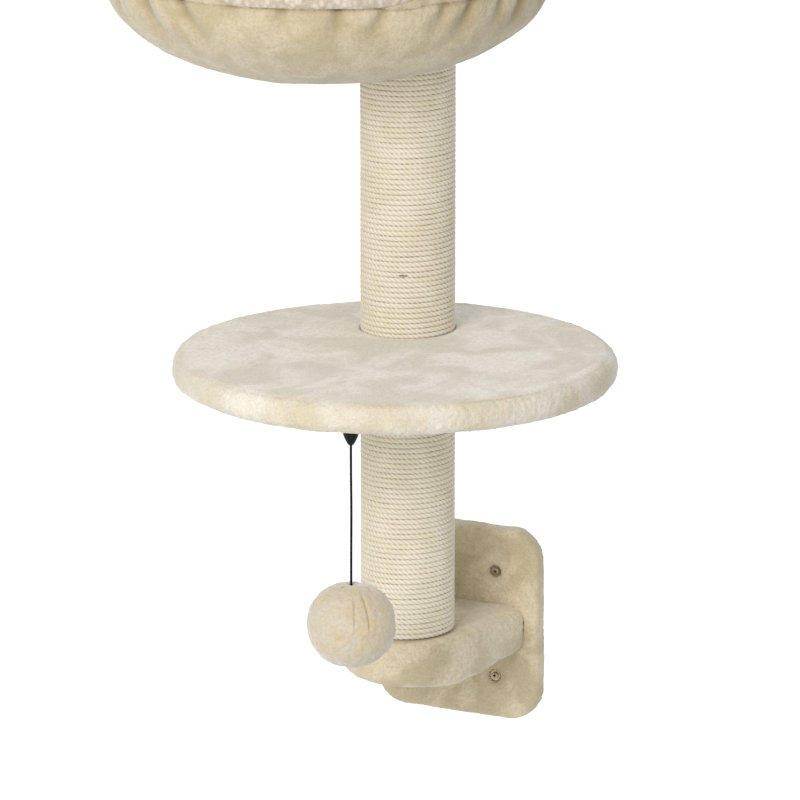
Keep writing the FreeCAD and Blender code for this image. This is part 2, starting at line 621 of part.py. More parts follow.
def posts():
    """Both posts, their ropes and the fasteners that join them to the shelf, the platform and the bowl."""
    lower, lower_inserts = post("lower_post", SHELF_TOP, "Dims.lower_post_length")
    upper, upper_inserts = post("upper_post", UPPER_SEAT, "Dims.upper_post_length")
    lower_rope, lower_places = rope_winding("lower_post_rope", size(SHELF_TOP), size(PLATFORM_FOOT), [])
    join_level = size(UPPER_SEAT) + size("Dims.rope_join_rise")
    upper_rope, upper_places = rope_winding("upper_post_rope", size(UPPER_SEAT), size(BOWL_SEAT), [join_level])
    visible_join = upper_places[1]
    hidden_ends = lower_places[:1] + lower_places[-1:]
    staples = rope_staples(visible_join, hidden_ends)

    under_block = "%s - Dims.bolt_washer_thick" % BLOCK_FOOT
    washer = carve("shelf_bolt_washer",
                   rod("shelf_washer_disc", "Dims.bolt_washer_dia / 2", "Dims.bolt_washer_thick",
                       "0", POST_Y, under_block),
                   rod("shelf_washer_bore", "Dims.bolt_dia / 2 + Dims.fit_gap", "Dims.bolt_washer_thick",
                       "0", POST_Y, under_block))
    head = doc.addObject("Part::Prism", "shelf_bolt_head")
    head.Polygon = 6
    bind(head, Circumradius="Dims.bolt_head_across / sqrt(3)", Height="Dims.bolt_head_high")
    put(head, "0", POST_Y, "%s - Dims.bolt_head_high" % under_block)
    shank = rod("shelf_bolt_shank", "Dims.bolt_dia / 2",
                "%s + Dims.bolt_grip - (%s)" % (SHELF_TOP, under_block), "0", POST_Y, under_block)
    bolt = join("shelf_bolt", head, shank)

    stud_foot = "%s - Dims.bolt_grip" % PLATFORM_FOOT
    stud = rod("platform_stud", "Dims.bolt_dia / 2", "%s + Dims.bolt_grip - (%s)" % (UPPER_SEAT, stud_foot),
               "0", POST_Y, stud_foot)
    inserts = group("post_inserts", *lower_inserts, *upper_inserts)
    return lower + upper + [lower_rope, upper_rope, staples, washer, bolt, stud, inserts]


# ---------------------------------------------------------------- platform

def platform():
    """A board with foam over its top and edge, in a plush cover, pierced off its centre by the post."""
    core_radius = "Dims.platform_radius - Dims.cover_thick"
    inner_round = "Dims.platform_edge_round - Dims.cover_thick"
    core_thick = "Dims.platform_board_thick + Dims.platform_foam_thick"
    board_radius = "%s - (%s) - Dims.soft_gap" % (core_radius, inner_round)
    stud_hole = "(Dims.bolt_dia + Dims.bolt_hole_room) / 2"
    screw_hole = "Dims.holder_screw_dia / 2 + Dims.fit_gap"

    def about_centre(name, radius, foot, length):
        return rod(name, radius, length, "Dims.platform_x", PLATFORM_Y, foot)

    board = carve("platform_board",
                  about_centre("platform_board_disc", board_radius, PLATFORM_BOARD_FOOT,
                               "Dims.platform_board_thick"),
                  rod("board_stud_hole", stud_hole, "Dims.platform_board_thick", "0", POST_Y, PLATFORM_BOARD_FOOT),
                  rod("board_toy_hole", screw_hole, "Dims.platform_board_thick", TOY_X, TOY_Y,
                      PLATFORM_BOARD_FOOT))
    foam = carve("platform_foam",
                 rounded_disc("platform_foam_blank", "%s - Dims.soft_gap" % core_radius, PLATFORM_BOARD_FOOT,
                              core_thick, inner_round, "Dims.platform_x", PLATFORM_Y),
                 about_centre("foam_board_pocket", "%s + Dims.soft_gap" % board_radius, PLATFORM_BOARD_FOOT,
                              "Dims.platform_board_thick"),
                 rod("foam_post_hole", POST_HOLE, "Dims.platform_foam_thick", "0", POST_Y, UPPER_SEAT))
    cover = carve("platform_cover",
                  rounded_disc("platform_skin", "Dims.platform_radius", PLATFORM_FOOT,
                               "%s + 2 * Dims.cover_thick" % core_thick, "Dims.platform_edge_round",
                               "Dims.platform_x", PLATFORM_Y),
                  rounded_disc("platform_hollow", core_radius, PLATFORM_BOARD_FOOT, core_thick, inner_round,
                               "Dims.platform_x", PLATFORM_Y),
                  rod("platform_cover_post_hole", POST_HOLE, "Dims.cover_thick", "0", POST_Y, PLATFORM_FOAM_TOP),
                  rod("platform_cover_stud_hole", stud_hole, "Dims.cover_thick", "0", POST_Y, PLATFORM_FOOT),
                  rod("platform_cover_toy_hole", screw_hole, "Dims.cover_thick", TOY_X, TOY_Y,
                      PLATFORM_FOOT))
    return [board, foam, cover]


# ---------------------------------------------------------------- bowl

def quarter_ellipse(half_width, depth, floor, top=0.0):
    """Part of the lower right quarter of an ellipse about the origin, from a top level down to a floor."""
    start, stop = (math.asin(min(1.0, -level / depth)) for level in (top, floor))
    if half_width > depth:
        curve = Part.Ellipse(Vector(half_width, 0, 0), Vector(0, 0, -depth), Vector())
        return Part.ArcOfEllipse(curve, start, stop).toShape()
    curve = Part.Ellipse(Vector(0, 0, -depth), Vector(half_width, 0, 0), Vector())
    return Part.ArcOfEllipse(curve, math.pi / 2 - stop, math.pi / 2 - start).toShape()


def turned(outline):
    """The solid that a closed outline in the XZ plane sweeps about the Z axis."""
    face = Part.Face(Part.Wire(Part.__sortEdges__(outline)))
    solid = face.revolve(Vector(), Vector(0, 0, 1), 360)
    return solid if solid.Volume > 0 else solid.reversed()


def line(start, end):
    return Part.LineSegment(Vector(start[0], 0, start[1]), Vector(end[0], 0, end[1])).toShape()


def arc(start, middle, end):
    return Part.Arc(*(Vector(r, 0, z) for r, z in (start, middle, end))).toShape()


def dome(rim_radius, rim_level, crown):
    """The arc of a sphere centred on the axis, from its rim up to its crown."""
    rise = crown - rim_level
    sphere = (rim_radius ** 2 + rise ** 2) / (2 * rise)
    middle = rim_radius / 2
    level = crown - sphere + math.sqrt(sphere ** 2 - middle ** 2)
    return arc((rim_radius, rim_level), (middle, level), (0, crown))


def swell(half_width, half_high, gather):
    """Half the outline of a stuffed ball: upright at its widest, flat where its fabric is gathered."""
    offset = (half_width ** 2 - gather ** 2 - half_high ** 2) / (2 * (half_width - gather))
    bend = half_width - offset
    diagonal = bend * math.sqrt(0.5)
    return [arc((half_width, 0), (offset + diagonal, side * diagonal), (gather, side * half_high))
            for side in (-1, 1)]


def dish(half_width, depth, top, floor=None):
    """A solid dish: an elliptical side, a straight lip up to the top, and a round or flat floor."""
    floor = -depth if floor is None else floor
    floor_radius = half_width * math.sqrt(max(0.0, 1 - (floor / depth) ** 2))
    outline = [quarter_ellipse(half_width, depth, floor),
               line((half_width, 0), (half_width, top)),
               line((half_width, top), (0, top)),
               line((0, top), (0, floor))]
    if floor_radius > 1e-6:
        outline.append(line((0, floor), (floor_radius, floor)))
    return turned(outline)


def bowl():
    """A padded plush bowl on a base board, with a lambswool lining, a padded rim on a steel ring and a cushion."""
    x, y, widest = size("Dims.bowl_x"), size(BOWL_Y), size(BOWL_WIDEST)
    radius, depth, hem = size("Dims.bowl_radius"), size("Dims.bowl_depth"), size("Dims.bowl_hem_rise")
    gap, room = size("Dims.soft_gap"), size("Dims.fit_gap")
    seat, floor = size(BOWL_SEAT) - widest, size(BOWL_FLOOR) - widest
    board_radius = radius - size("Dims.bowl_board_margin")
    post = Vector(-x, size(POST_Y) - y, 0)

    def post_hole(bore, foot, length):
        return Part.makeCylinder(bore, length, post + Vector(0, 0, foot))

    rope_hole = post_hole(size(POST_HOLE), -depth - 1, depth + 1 + seat)
    skin = size("Dims.bowl_cover_thick")
    cover = dish(radius, depth, hem).cut([dish(radius - skin, depth - skin, hem), rope_hole])

    foam_radius, foam_depth = radius - skin - gap, depth - skin - gap
    inner = foam_radius - size("Dims.bowl_foam_thick")
    floor_reach = board_radius + size("Dims.bowl_floor_margin")
    inner_depth = -floor / math.sqrt(1 - (floor_reach / inner) ** 2)
    pocket = Part.makeCylinder(board_radius + gap, floor - seat, Vector(0, 0, seat))
    foam = dish(foam_radius, foam_depth, hem, seat).cut([dish(inner, inner_depth, hem, floor), pocket])
    seat_radius = foam_radius * math.sqrt(1 - (seat / foam_depth) ** 2)
    belly = turned([quarter_ellipse(foam_radius, foam_depth, -foam_depth, seat),
                    line((seat_radius, seat), (0, seat)),
                    line((0, seat), (0, -foam_depth))]).cut(rope_hole)

    wool = size("Dims.lining_thick")
    lining = dish(inner - gap, inner_depth - gap, hem, floor + gap).cut(
        dish(inner - gap - wool, inner_depth - gap - wool, hem, floor + gap + wool))

    outer = radius
    inside = outer - size("Dims.rim_width")
    foot, top = hem + gap, hem + gap + size("Dims.rim_height")
    rim_shoulder = top - size("Dims.rim_width") / 2
    wire = size("Dims.rim_wire_dia") / 2
    centre = (outer + inside) / 2
    groove = wire + size("Dims.rim_wire_room")
    rim = turned([line((inside, foot), (centre - groove, foot)),
                  line((centre - groove, foot), (centre - groove, foot + groove)),
                  arc((centre - groove, foot + groove), (centre, foot + 2 * groove), (centre + groove, foot + groove)),
                  line((centre + groove, foot + groove), (centre + groove, foot)),
                  line((centre + groove, foot), (outer, foot)),
                  line((outer, foot), (outer, rim_shoulder)),
                  arc((outer, rim_shoulder), (centre, top), (inside, rim_shoulder)),
                  line((inside, rim_shoulder), (inside, foot))])

    bed = floor + gap + wool + gap
    edge, crown = bed + size("Dims.cushion_edge"), bed + size("Dims.cushion_crown")
    rounding = size("Dims.cushion_round")
    shoulder = edge - rounding

    def beside_lining(level):
        half_width, half_high = inner - gap - wool, inner_depth - gap - wool
        return half_width * math.sqrt(1 - (level / half_high) ** 2) - size("Dims.cushion_room")

    foot_point, side_point, shoulder_point = [(beside_lining(level), level)
                                              for level in (bed, (bed + shoulder) / 2, shoulder)]
    neck = shoulder_point[0] - rounding
    diagonal = rounding * math.sqrt(0.5)
    cushion = turned([line((0, bed), foot_point),
                      arc(foot_point, side_point, shoulder_point),
                      arc(shoulder_point, (neck + diagonal, shoulder + diagonal), (neck, edge)),
                      dome(neck, edge, crown),
                      line((0, crown), (0, bed))])

    washer_thick = size("Dims.bolt_washer_thick")
    washer_radius = size("Dims.bowl_washer_dia / 2")
    head_high = size("Dims.bowl_bolt_head_high")
    shank = size("Dims.bolt_dia / 2")
    recess = head_high + washer_thick + 2 * room
    ledge = floor - recess
    board = Part.makeCylinder(board_radius, floor - seat, Vector(0, 0, seat)).cut([
        post_hole(shank + size("Dims.bolt_hole_room / 2"), seat, floor - seat),
        post_hole(washer_radius + 2 * room, ledge, recess)])
    washer = post_hole(washer_radius, ledge, washer_thick).cut(post_hole(shank + room, ledge, washer_thick))
    grip_foot = seat - size("Dims.bolt_grip")
    bolt_seat = ledge + washer_thick
    bolt = post_hole(shank, grip_foot, bolt_seat - grip_foot).fuse(
        post_hole(size("Dims.bowl_bolt_head_dia / 2"), bolt_seat, head_high)).removeSplitter()

    ring = doc.addObject("Part::Torus", "bowl_rim_wire")
    bind(ring, Radius1="Dims.bowl_radius - Dims.rim_width / 2", Radius2="Dims.rim_wire_dia / 2")
    put(ring, "Dims.bowl_x", BOWL_Y,
        "%s + Dims.bowl_hem_rise + Dims.soft_gap + Dims.rim_wire_dia / 2 + Dims.fit_gap" % BOWL_WIDEST)
    shapes = (("bowl_base_board", board), ("bowl_foam", foam), ("bowl_belly_pad", belly),
              ("bowl_outer_cover", cover),
              ("bowl_lining", lining), ("bowl_rim_roll", rim), ("bowl_cushion", cushion),
              ("bowl_bolt", bolt), ("bowl_bolt_washer", washer))
    return [made(label, shape, x, y, widest) for label, shape in shapes] + [ring]


# ---------------------------------------------------------------- toy

def toy():
    """A bell-shaped holder under the platform, a cord with a knot at each end, and a stuffed plush ball."""
    x, y, mouth_level = size(TOY_X), size(TOY_Y), size(MOUTH_Z)
    high, wide, mouth = size("Dims.holder_height"), size("Dims.holder_radius"), size("Dims.holder_mouth_radius")
    bore, room = size("Dims.holder_bore_radius"), size("Dims.fit_gap")
    base_radius, base_thick = size("Dims.holder_base_radius"), size("Dims.holder_base_thick")
    flange_foot, flange_radius = high - size("Dims.holder_flange_high"), size("Dims.holder_flange_radius")
    waist = (size("Dims.holder_waist_radius"), size("Dims.holder_waist_level"))
    throat = size("Dims.holder_throat")
    chamber = high - base_thick - room
    chamber_radius = base_radius - size("Dims.holder_ledge")
    chamber_foot = size("Dims.holder_chamber_level")
    cap = turned([line((bore, 0), (mouth, 0)),
                  arc((mouth, 0), waist, (flange_radius, flange_foot)),
                  line((flange_radius, flange_foot), (wide, high)),
                  line((wide, high), (base_radius + room, high)),
                  line((base_radius + room, high), (base_radius + room, chamber)),
                  line((base_radius + room, chamber), (chamber_radius, chamber)),
                  line((chamber_radius, chamber), (chamber_radius, chamber_foot)),
                  line((chamber_radius, chamber_foot), (bore, throat)),
                  line((bore, throat), (bore, 0))])
    screw_radius = size("Dims.holder_screw_dia / 2")
    base = turned([line((screw_radius + room, high - base_thick), (base_radius, high - base_thick)),
                   line((base_radius, high - base_thick), (base_radius, high)),
                   line((base_radius, high), (screw_radius + room, high)),
                   line((screw_radius + room, high), (screw_radius + room, high - base_thick))])
    head_radius, head_high = 2 * screw_radius, screw_radius
    head_foot = high - base_thick - head_high
    point = 2 * screw_radius
    tip = head_foot + size("Dims.holder_screw_length")
    screw = turned([line((0, head_foot), (head_radius, head_foot)),
                    line((head_radius, head_foot), (head_radius, head_foot + head_high)),
                    line((head_radius, head_foot + head_high), (screw_radius, head_foot + head_high)),
                    line((screw_radius, head_foot + head_high), (screw_radius, tip - point)),
                    line((screw_radius, tip - point), (0, tip)),
                    line((0, tip), (0, head_foot))])

    cord, bend = size("Dims.cord_dia / 2"), size("Dims.cord_bend_radius")
    gap = size("Dims.soft_gap")
    stop_radius = size("Dims.cord_stop_radius")
    stop_level = chamber_foot + stop_radius - gap
    stub_foot = bend + gap - size("Dims.cord_bend_drop")
    stub = Part.makeCylinder(cord, stop_level - stub_foot, Vector(0, 0, stub_foot))
    stop = Part.makeSphere(stop_radius, Vector(0, 0, stop_level)).fuse(stub).removeSplitter()
    shapes = [made(label, shape, x, y, mouth_level) for label, shape in
              (("toy_holder_cap", cap), ("toy_holder_base", base), ("toy_holder_screw", screw),
               ("toy_cord_stop", stop))]
    shapes.append(ball("toy_cord_bend", "Dims.cord_bend_radius", TOY_X, TOY_Y, PIVOT_Z))

    cord_top = "%s - Dims.cord_bend_radius - Dims.soft_gap" % PIVOT_Z
    knot_level = "%s + Dims.ball_half_height / 2" % BALL_Z
    cord_foot = "%s + Dims.end_knot_radius" % knot_level
    line_length = "%s - (%s)" % (cord_top, cord_foot)
    shapes.append(rod("toy_cord", "Dims.cord_dia / 2", line_length, TOY_X, TOY_Y, cord_foot))
    shapes.append(ball("toy_cord_end_knot", "Dims.end_knot_radius", TOY_X, TOY_Y, knot_level))

    ball_wide, ball_half = size("Dims.ball_radius"), size("Dims.ball_half_height")
    ball_skin, gather = size("Dims.ball_cover_thick"), size("Dims.ball_gather_radius")
    knot_at = ball_half / 2

    def egg(inset):
        half_high = ball_half - inset
        sides = swell(ball_wide - inset, half_high, gather)
        ends = [line((0, side * half_high), (gather, side * half_high)) for side in (-1, 1)]
        return turned(sides + ends + [line((0, half_high), (0, -half_high))])

    cord_hole = Part.makeCylinder(cord + gap, ball_half, Vector(0, 0, knot_at))
    knot_hole = Part.makeSphere(size("Dims.end_knot_radius") + gap, Vector(0, 0, knot_at))
    filling = egg(ball_skin + gap).cut([cord_hole, knot_hole])
    skin = egg(0).cut([egg(ball_skin), cord_hole])
    centre = size(BALL_Z)
    shapes += [made(label, shape, x, y, centre) for label, shape in
               (("toy_ball_filling", filling), ("toy_ball_cover", skin))]
    return shapes


def write_parts(nodes):
    """Check every object, then write one STEP file for each sub-part."""
    doc.recompute()
    failed = [thing.Label for thing in doc.Objects if {"Invalid", "Error"} & set(thing.State)]
    if failed:
        raise ValueError("failed objects: " + ", ".join(failed))
    os.makedirs("parts", exist_ok=True)
    for node in nodes:
        shape = node.Shape
        if shape.isNull() or not shape.isValid() or shape.Volume <= 0:
            raise ValueError("bad shape: " + node.Label)
        print("%-26s %2d solids %12.0f mm3" % (node.Label, len(shape.Solids), shape.Volume))
        shape.exportStep("parts/%s.step" % node.Label)
    print(len(nodes), "nodes")


write_parts(wall_bracket() + posts() + platform() + bowl() + toy())
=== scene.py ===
"""Looks of the wall mounted cat tree: plush, sisal, lambswool, cord and fittings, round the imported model.

Metres. Origin: centre of the wall plate's back, on the wall.
+X right facing the wall, +Y into the wall, +Z up.
"""
import json
import math
import random

import bpy
import numpy as np
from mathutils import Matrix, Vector
from mathutils.bvhtree import BVHTree


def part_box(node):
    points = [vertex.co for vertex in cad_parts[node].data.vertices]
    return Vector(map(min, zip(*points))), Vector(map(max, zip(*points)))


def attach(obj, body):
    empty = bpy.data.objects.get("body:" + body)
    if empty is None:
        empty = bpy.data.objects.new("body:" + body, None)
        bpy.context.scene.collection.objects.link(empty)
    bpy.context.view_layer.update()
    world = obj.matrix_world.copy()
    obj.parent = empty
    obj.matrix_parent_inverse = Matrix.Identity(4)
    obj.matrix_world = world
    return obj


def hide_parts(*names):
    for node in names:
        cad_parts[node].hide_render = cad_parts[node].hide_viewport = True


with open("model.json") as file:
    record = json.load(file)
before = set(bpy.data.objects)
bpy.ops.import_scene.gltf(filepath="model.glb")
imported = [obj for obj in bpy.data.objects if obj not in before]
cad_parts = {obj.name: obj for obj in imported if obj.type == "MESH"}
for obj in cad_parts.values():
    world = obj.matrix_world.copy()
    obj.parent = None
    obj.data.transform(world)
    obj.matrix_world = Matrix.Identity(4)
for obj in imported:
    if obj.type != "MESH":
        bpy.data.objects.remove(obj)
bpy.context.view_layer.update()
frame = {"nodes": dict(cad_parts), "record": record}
NODES = frame["nodes"]
MM = 0.001

# Posts
POST_Y = -0.170
ROPE_RADIUS = 3.05 * MM
ROPE_CREST = 1.03
ROPE_WIND_RADIUS = 56.95 * MM
ROPE_PITCH = 6.6 * MM
ROPE_LAY = 19.5 * MM
ROPE_STEP = 1.9 * MM
ROPE_SIDES = 12
ROPE_GROOVE = 0.20
ROPE_SPREAD = 1.15
ROPE_SQUARENESS = 2.7
ROPE_JOIN_LEVEL = 0.504
ROPE_JOIN_ANGLE = math.radians(-70)

# Platform
PLATFORM_X = 0.036
PLATFORM_RADIUS = 0.277
PLATFORM_Y = -0.283

# Bowl
BOWL_X, BOWL_Y = -0.053, -0.289
HEM_LEVEL = 0.896
RIM_OUTSIDE, RIM_INSIDE = 0.270, 0.226
RIM_SHOULDER = 0.9183
BOWL_FLAT_RADIUS = 0.12

# Toy
TOY_X, TOY_Y = 0.0814, -0.500
CORD_EXIT_LEVEL = 0.358
CORD_END_LEVEL = 0.1615
CORD_DIAMETER = 3 * MM
BALL_LEVEL = 0.132
BALL_HALF_HEIGHT = 0.051

# Wall screws
SCREW_X, SCREW_Z = 0.055, 0.0705
SCREW_FACE = -23.8 * MM
SCREW_NECK_START = -21.2 * MM
SCREW_THREAD_END, SCREW_TIP = 34 * MM, 40 * MM
SCREW_HEAD_RADIUS, SCREW_NECK_RADIUS, SCREW_THREAD_RADIUS = 4.5 * MM, 2.0 * MM, 2.5 * MM
SCREW_THREAD_PITCH = 2.2 * MM
RECESS_REACH, RECESS_HALF_WIDTH, RECESS_DEPTH = 2.4 * MM, 0.7 * MM, 1.5 * MM


# ---------------------------------------------------------------- camera and light

def make_camera():
    """The photograph's view: a little to the right of the object, looking down at it."""
    azimuth, pitch = math.radians(25.625), math.radians(14.548)
    distance, height, beside = 7.213, 2.200, -9.9 * MM
    data = bpy.data.cameras.new("camera")
    data.sensor_width = 36
    data.lens = 264.8
    data.clip_start, data.clip_end = 0.1, 60
    camera = bpy.data.objects.new("camera", data)
    bpy.context.scene.collection.objects.link(camera)
    camera.location = (beside * math.cos(azimuth) + distance * math.sin(azimuth),
                       POST_Y + beside * math.sin(azimuth) - distance * math.cos(azimuth),
                       height)
    camera.rotation_euler = (math.radians(90) - pitch, 0, azimuth)
    bpy.context.scene.camera = camera


def area_lamp(name, place, aim, size, watts, colour=(1, 1, 1)):
    data = bpy.data.lights.new(name, "AREA")
    data.shape = "DISK"
    data.size = size
    data.energy = watts
    data.color = colour
    lamp = bpy.data.objects.new(name, data)
    bpy.context.scene.collection.objects.link(lamp)
    lamp.location = place
    lamp.rotation_euler = (Vector(aim) - Vector(place)).to_track_quat("-Z", "Y").to_euler()


def seen_directly(nodes, links):
    """1 where the camera or a reflection looks, and 0 for light that falls on the object."""
    path = nodes.new("ShaderNodeLightPath")
    either = nodes.new("ShaderNodeMath")
    either.operation = "MAXIMUM"
    links.new(path.outputs["Is Camera Ray"], either.inputs[0])
    links.new(path.outputs["Is Glossy Ray"], either.inputs[1])
    return either.outputs[0]


def make_light():
    """A pale sky all round, a large soft lamp in front and a weak one at the right."""
    world = bpy.data.worlds.new("studio")
    bpy.context.scene.world = world
    world.use_nodes = True
    nodes, links = world.node_tree.nodes, world.node_tree.links
    nodes.clear()
    seen = seen_directly(nodes, links)
    sky = nodes.new("ShaderNodeBackground")
    sky.inputs["Color"].default_value = (0.96, 0.98, 1.0, 1)
    sky.inputs["Strength"].default_value = 0.74
    white = nodes.new("ShaderNodeBackground")
    white.inputs["Color"].default_value = (1, 1, 1, 1)
    white.inputs["Strength"].default_value = 1.0
    mix = nodes.new("ShaderNodeMixShader")
    out = nodes.new("ShaderNodeOutputWorld")
    links.new(seen, mix.inputs[0])
    links.new(sky.outputs[0], mix.inputs[1])
    links.new(white.outputs[0], mix.inputs[2])
    links.new(mix.outputs[0], out.inputs["Surface"])
    middle = (0, -0.2, 0.4)
    area_lamp("key", (0.1, -3.8, 1.75), middle, size=1.7, watts=76, colour=(1.0, 0.985, 0.96))
    area_lamp("fill", (3.4, -2.2, 1.2), middle, size=2.4, watts=1.5, colour=(0.97, 0.985, 1.0))


def make_floor():
    """A plain pale floor far under the object, white to the camera but for the object's soft shadow."""
    level, half = -0.75, 9.0
    mesh = bpy.data.meshes.new("floor")
    mesh.from_pydata([(-half, -half, level), (half, -half, level), (half, half, level), (-half, half, level)],
                     [], [(0, 1, 2, 3)])
    floor = bpy.data.objects.new("floor", mesh)
    bpy.context.scene.collection.objects.link(floor)
    material = bpy.data.materials.new("floor")
    material.use_nodes = True
    nodes, links = material.node_tree.nodes, material.node_tree.links
    nodes.clear()
    seen = seen_directly(nodes, links)
    pale = nodes.new("ShaderNodeBsdfDiffuse")
    pale.inputs["Color"].default_value = (0.85, 0.85, 0.84, 1)
    glow = nodes.new("ShaderNodeEmission")
    glow.inputs["Strength"].default_value = 0.5
    both = nodes.new("ShaderNodeAddShader")
    mix = nodes.new("ShaderNodeMixShader")
    out = nodes.new("ShaderNodeOutputMaterial")
    links.new(pale.outputs[0], both.inputs[0])
    links.new(glow.outputs[0], both.inputs[1])
    links.new(seen, mix.inputs[0])
    links.new(pale.outputs[0], mix.inputs[1])
    links.new(both.outputs[0], mix.inputs[2])
    links.new(mix.outputs[0], out.inputs["Surface"])
    mesh.materials.append(material)


# ---------------------------------------------------------------- materials

class Graph:
    """A material's node tree, with short ways to add its nodes."""

    def __init__(self, name):
        self.material = bpy.data.materials.new(name)
        self.material.use_nodes = True
        self.nodes = self.material.node_tree.nodes
        self.links = self.material.node_tree.links
        self.shader = self.nodes["Principled BSDF"]
        self.place = self.nodes.new("ShaderNodeTexCoord").outputs["Object"]

    def set(self, **values):
        """Constants on the shader's own sockets."""
        for name, value in values.items():
            self.shader.inputs[name.replace("_", " ")].default_value = value

    def stretch(self, x, y, z):
        """The object's coordinates, scaled by axis."""
        node = self.nodes.new("ShaderNodeMapping")
        node.inputs["Scale"].default_value = (x, y, z)
        self.links.new(self.place, node.inputs["Vector"])
        return node.outputs[0]

    def noise(self, size, detail=2.0, distortion=0.0, vector=None):
        """Noise whose lumps have about a size in metres."""
        node = self.nodes.new("ShaderNodeTexNoise")
        node.inputs["Scale"].default_value = 1 / size
        node.inputs["Detail"].default_value = detail
        node.inputs["Distortion"].default_value = distortion
        self.links.new(vector or self.place, node.inputs["Vector"])
        return node.outputs["Fac"]

    def cells(self, size, vector=None):
        """Distance from the nearest of scattered points about a size in metres apart."""
        node = self.nodes.new("ShaderNodeTexVoronoi")
        node.inputs["Scale"].default_value = 1 / size
        self.links.new(vector or self.place, node.inputs["Vector"])
        return node.outputs["Distance"]

    def ramp(self, value, low, high, start=0.0, end=1.0):
        """A value's range from low to high, made a smooth step."""
        node = self.nodes.new("ShaderNodeMapRange")
        node.interpolation_type = "SMOOTHSTEP"
        for socket, number in (("From Min", low), ("From Max", high), ("To Min", start), ("To Max", end)):
            node.inputs[socket].default_value = number
        self.links.new(value, node.inputs["Value"])
        return node.outputs[0]

    def mix(self, factor, first, second, kind="MIX"):
        """Two colours mixed by a factor, either of them a colour or a socket."""
        node = self.nodes.new("ShaderNodeMix")
        node.data_type = "RGBA"
        node.blend_type = kind
        for socket, value in ((node.inputs[0], factor), (node.inputs[6], first), (node.inputs[7], second)):
            if isinstance(value, bpy.types.NodeSocket):
                self.links.new(value, socket)
            else:
                socket.default_value = (*value, 1) if isinstance(value, tuple) else value
        return node.outputs[2]

    def attribute(self, name):
        """A number stored on the mesh."""
        node = self.nodes.new("ShaderNodeAttribute")
        node.attribute_name = name
        return node

    def bump(self, height, strength, depth, under=None):
        """A bump of a depth in metres, over another bump."""
        node = self.nodes.new("ShaderNodeBump")
        node.inputs["Strength"].default_value = strength
        node.inputs["Distance"].default_value = depth
        self.links.new(height, node.inputs["Height"])
        if under:
            self.links.new(under, node.inputs["Normal"])
        return node.outputs[0]

    def finish(self, colour, normal=None):
        self.links.new(colour, self.shader.inputs["Base Color"])
        if normal:
            self.links.new(normal, self.shader.inputs["Normal"])
        return self.material


def shade(colour, factor):
    """A colour made darker or lighter."""
    return tuple(min(1.0, factor * part) for part in colour)


def plush(name, light, dark, warm=None, patch=0.045, sheen=0.45):
    """Short pile: brushed patches or an even nap, tufts with painted shade between them, fibres, pale tips,
    and painted shade where drawn in.
    """
    graph = Graph(name)
    warm = warm or dark
    brushed = graph.ramp(graph.noise(patch, 5, 0.6, graph.stretch(1, 0.8, 1)), 0.41, 0.59)
    even = graph.attribute("even_nap").outputs["Fac"]
    tufts = graph.noise(0.0034, 2, 0.4)
    clumps = graph.noise(0.0085, 3, 0.5)
    fibres = graph.noise(0.0011, 3)
    base = graph.mix(brushed, dark, light)
    calm = graph.mix(graph.ramp(graph.noise(0.07, 2), 0.3, 0.7), warm, shade(light, 0.86))
    base = graph.mix(graph.ramp(even, 0.0, 1.0, 0.0, 0.85), base, calm)
    # Painted shade: darker down between the clumps and the tufts, where their bump is low.
    base = graph.mix(graph.ramp(clumps, 0.30, 0.70, 0.22, 0.0), base, shade(dark, 0.80))
    base = graph.mix(graph.ramp(tufts, 0.28, 0.62, 0.40, 0.0), base, shade(dark, 0.74))
    base = graph.mix(graph.ramp(fibres, 0.35, 0.75, 0.0, 0.35), base, shade(light, 1.12))
    tips = graph.attribute("nap_tips").outputs["Fac"]
    pale_tips = tuple(0.55 * part + 0.45 * 0.78 for part in light)
    base = graph.mix(graph.ramp(tips, 0.0, 1.0, 0.0, 0.75), base, pale_tips)
    # Painted shade in creases, hems, seams, dimples and at a post's foot; on the ball also the dark of its
    # stitch.
    drawn = graph.attribute("painted_shade_and_stitch").outputs["Fac"]
    base = graph.mix(graph.ramp(drawn, 0.05, 1.0, 0.0, 0.9), base,
                     (0.60 * dark[0], 0.55 * dark[1], 0.42 * dark[2]))
    normal = graph.bump(clumps, 0.50, 0.0022)
    normal = graph.bump(tufts, 0.75, 0.0013, normal)
    normal = graph.bump(fibres, 0.60, 0.0005, normal)
    graph.set(Roughness=0.95, Sheen_Weight=sheen, Sheen_Roughness=0.45, Specular_IOR_Level=0.05)
    graph.shader.inputs["Sheen Tint"].default_value = (0.93, 0.94, 0.95, 1)
    return graph.finish(base, normal)


def lambswool():
    """Long curly pile."""
    graph = Graph("lambswool")
    curls = graph.cells(0.0065, graph.stretch(1, 1, 0.8))
    base = graph.mix(graph.ramp(curls, 0.1, 0.8), (0.64, 0.56, 0.475), (0.44, 0.36, 0.27))
    base = graph.mix(graph.ramp(graph.noise(0.0015, 3), 0.3, 0.7, 0.0, 0.35), base, (0.71, 0.64, 0.55))
    normal = graph.bump(curls, 0.8, 0.0016)
    normal = graph.bump(graph.noise(0.0013, 3), 0.6, 0.0005, normal)
    graph.set(Roughness=0.95, Sheen_Weight=0.25, Sheen_Roughness=0.5, Specular_IOR_Level=0.08)
    return graph.finish(base, normal)


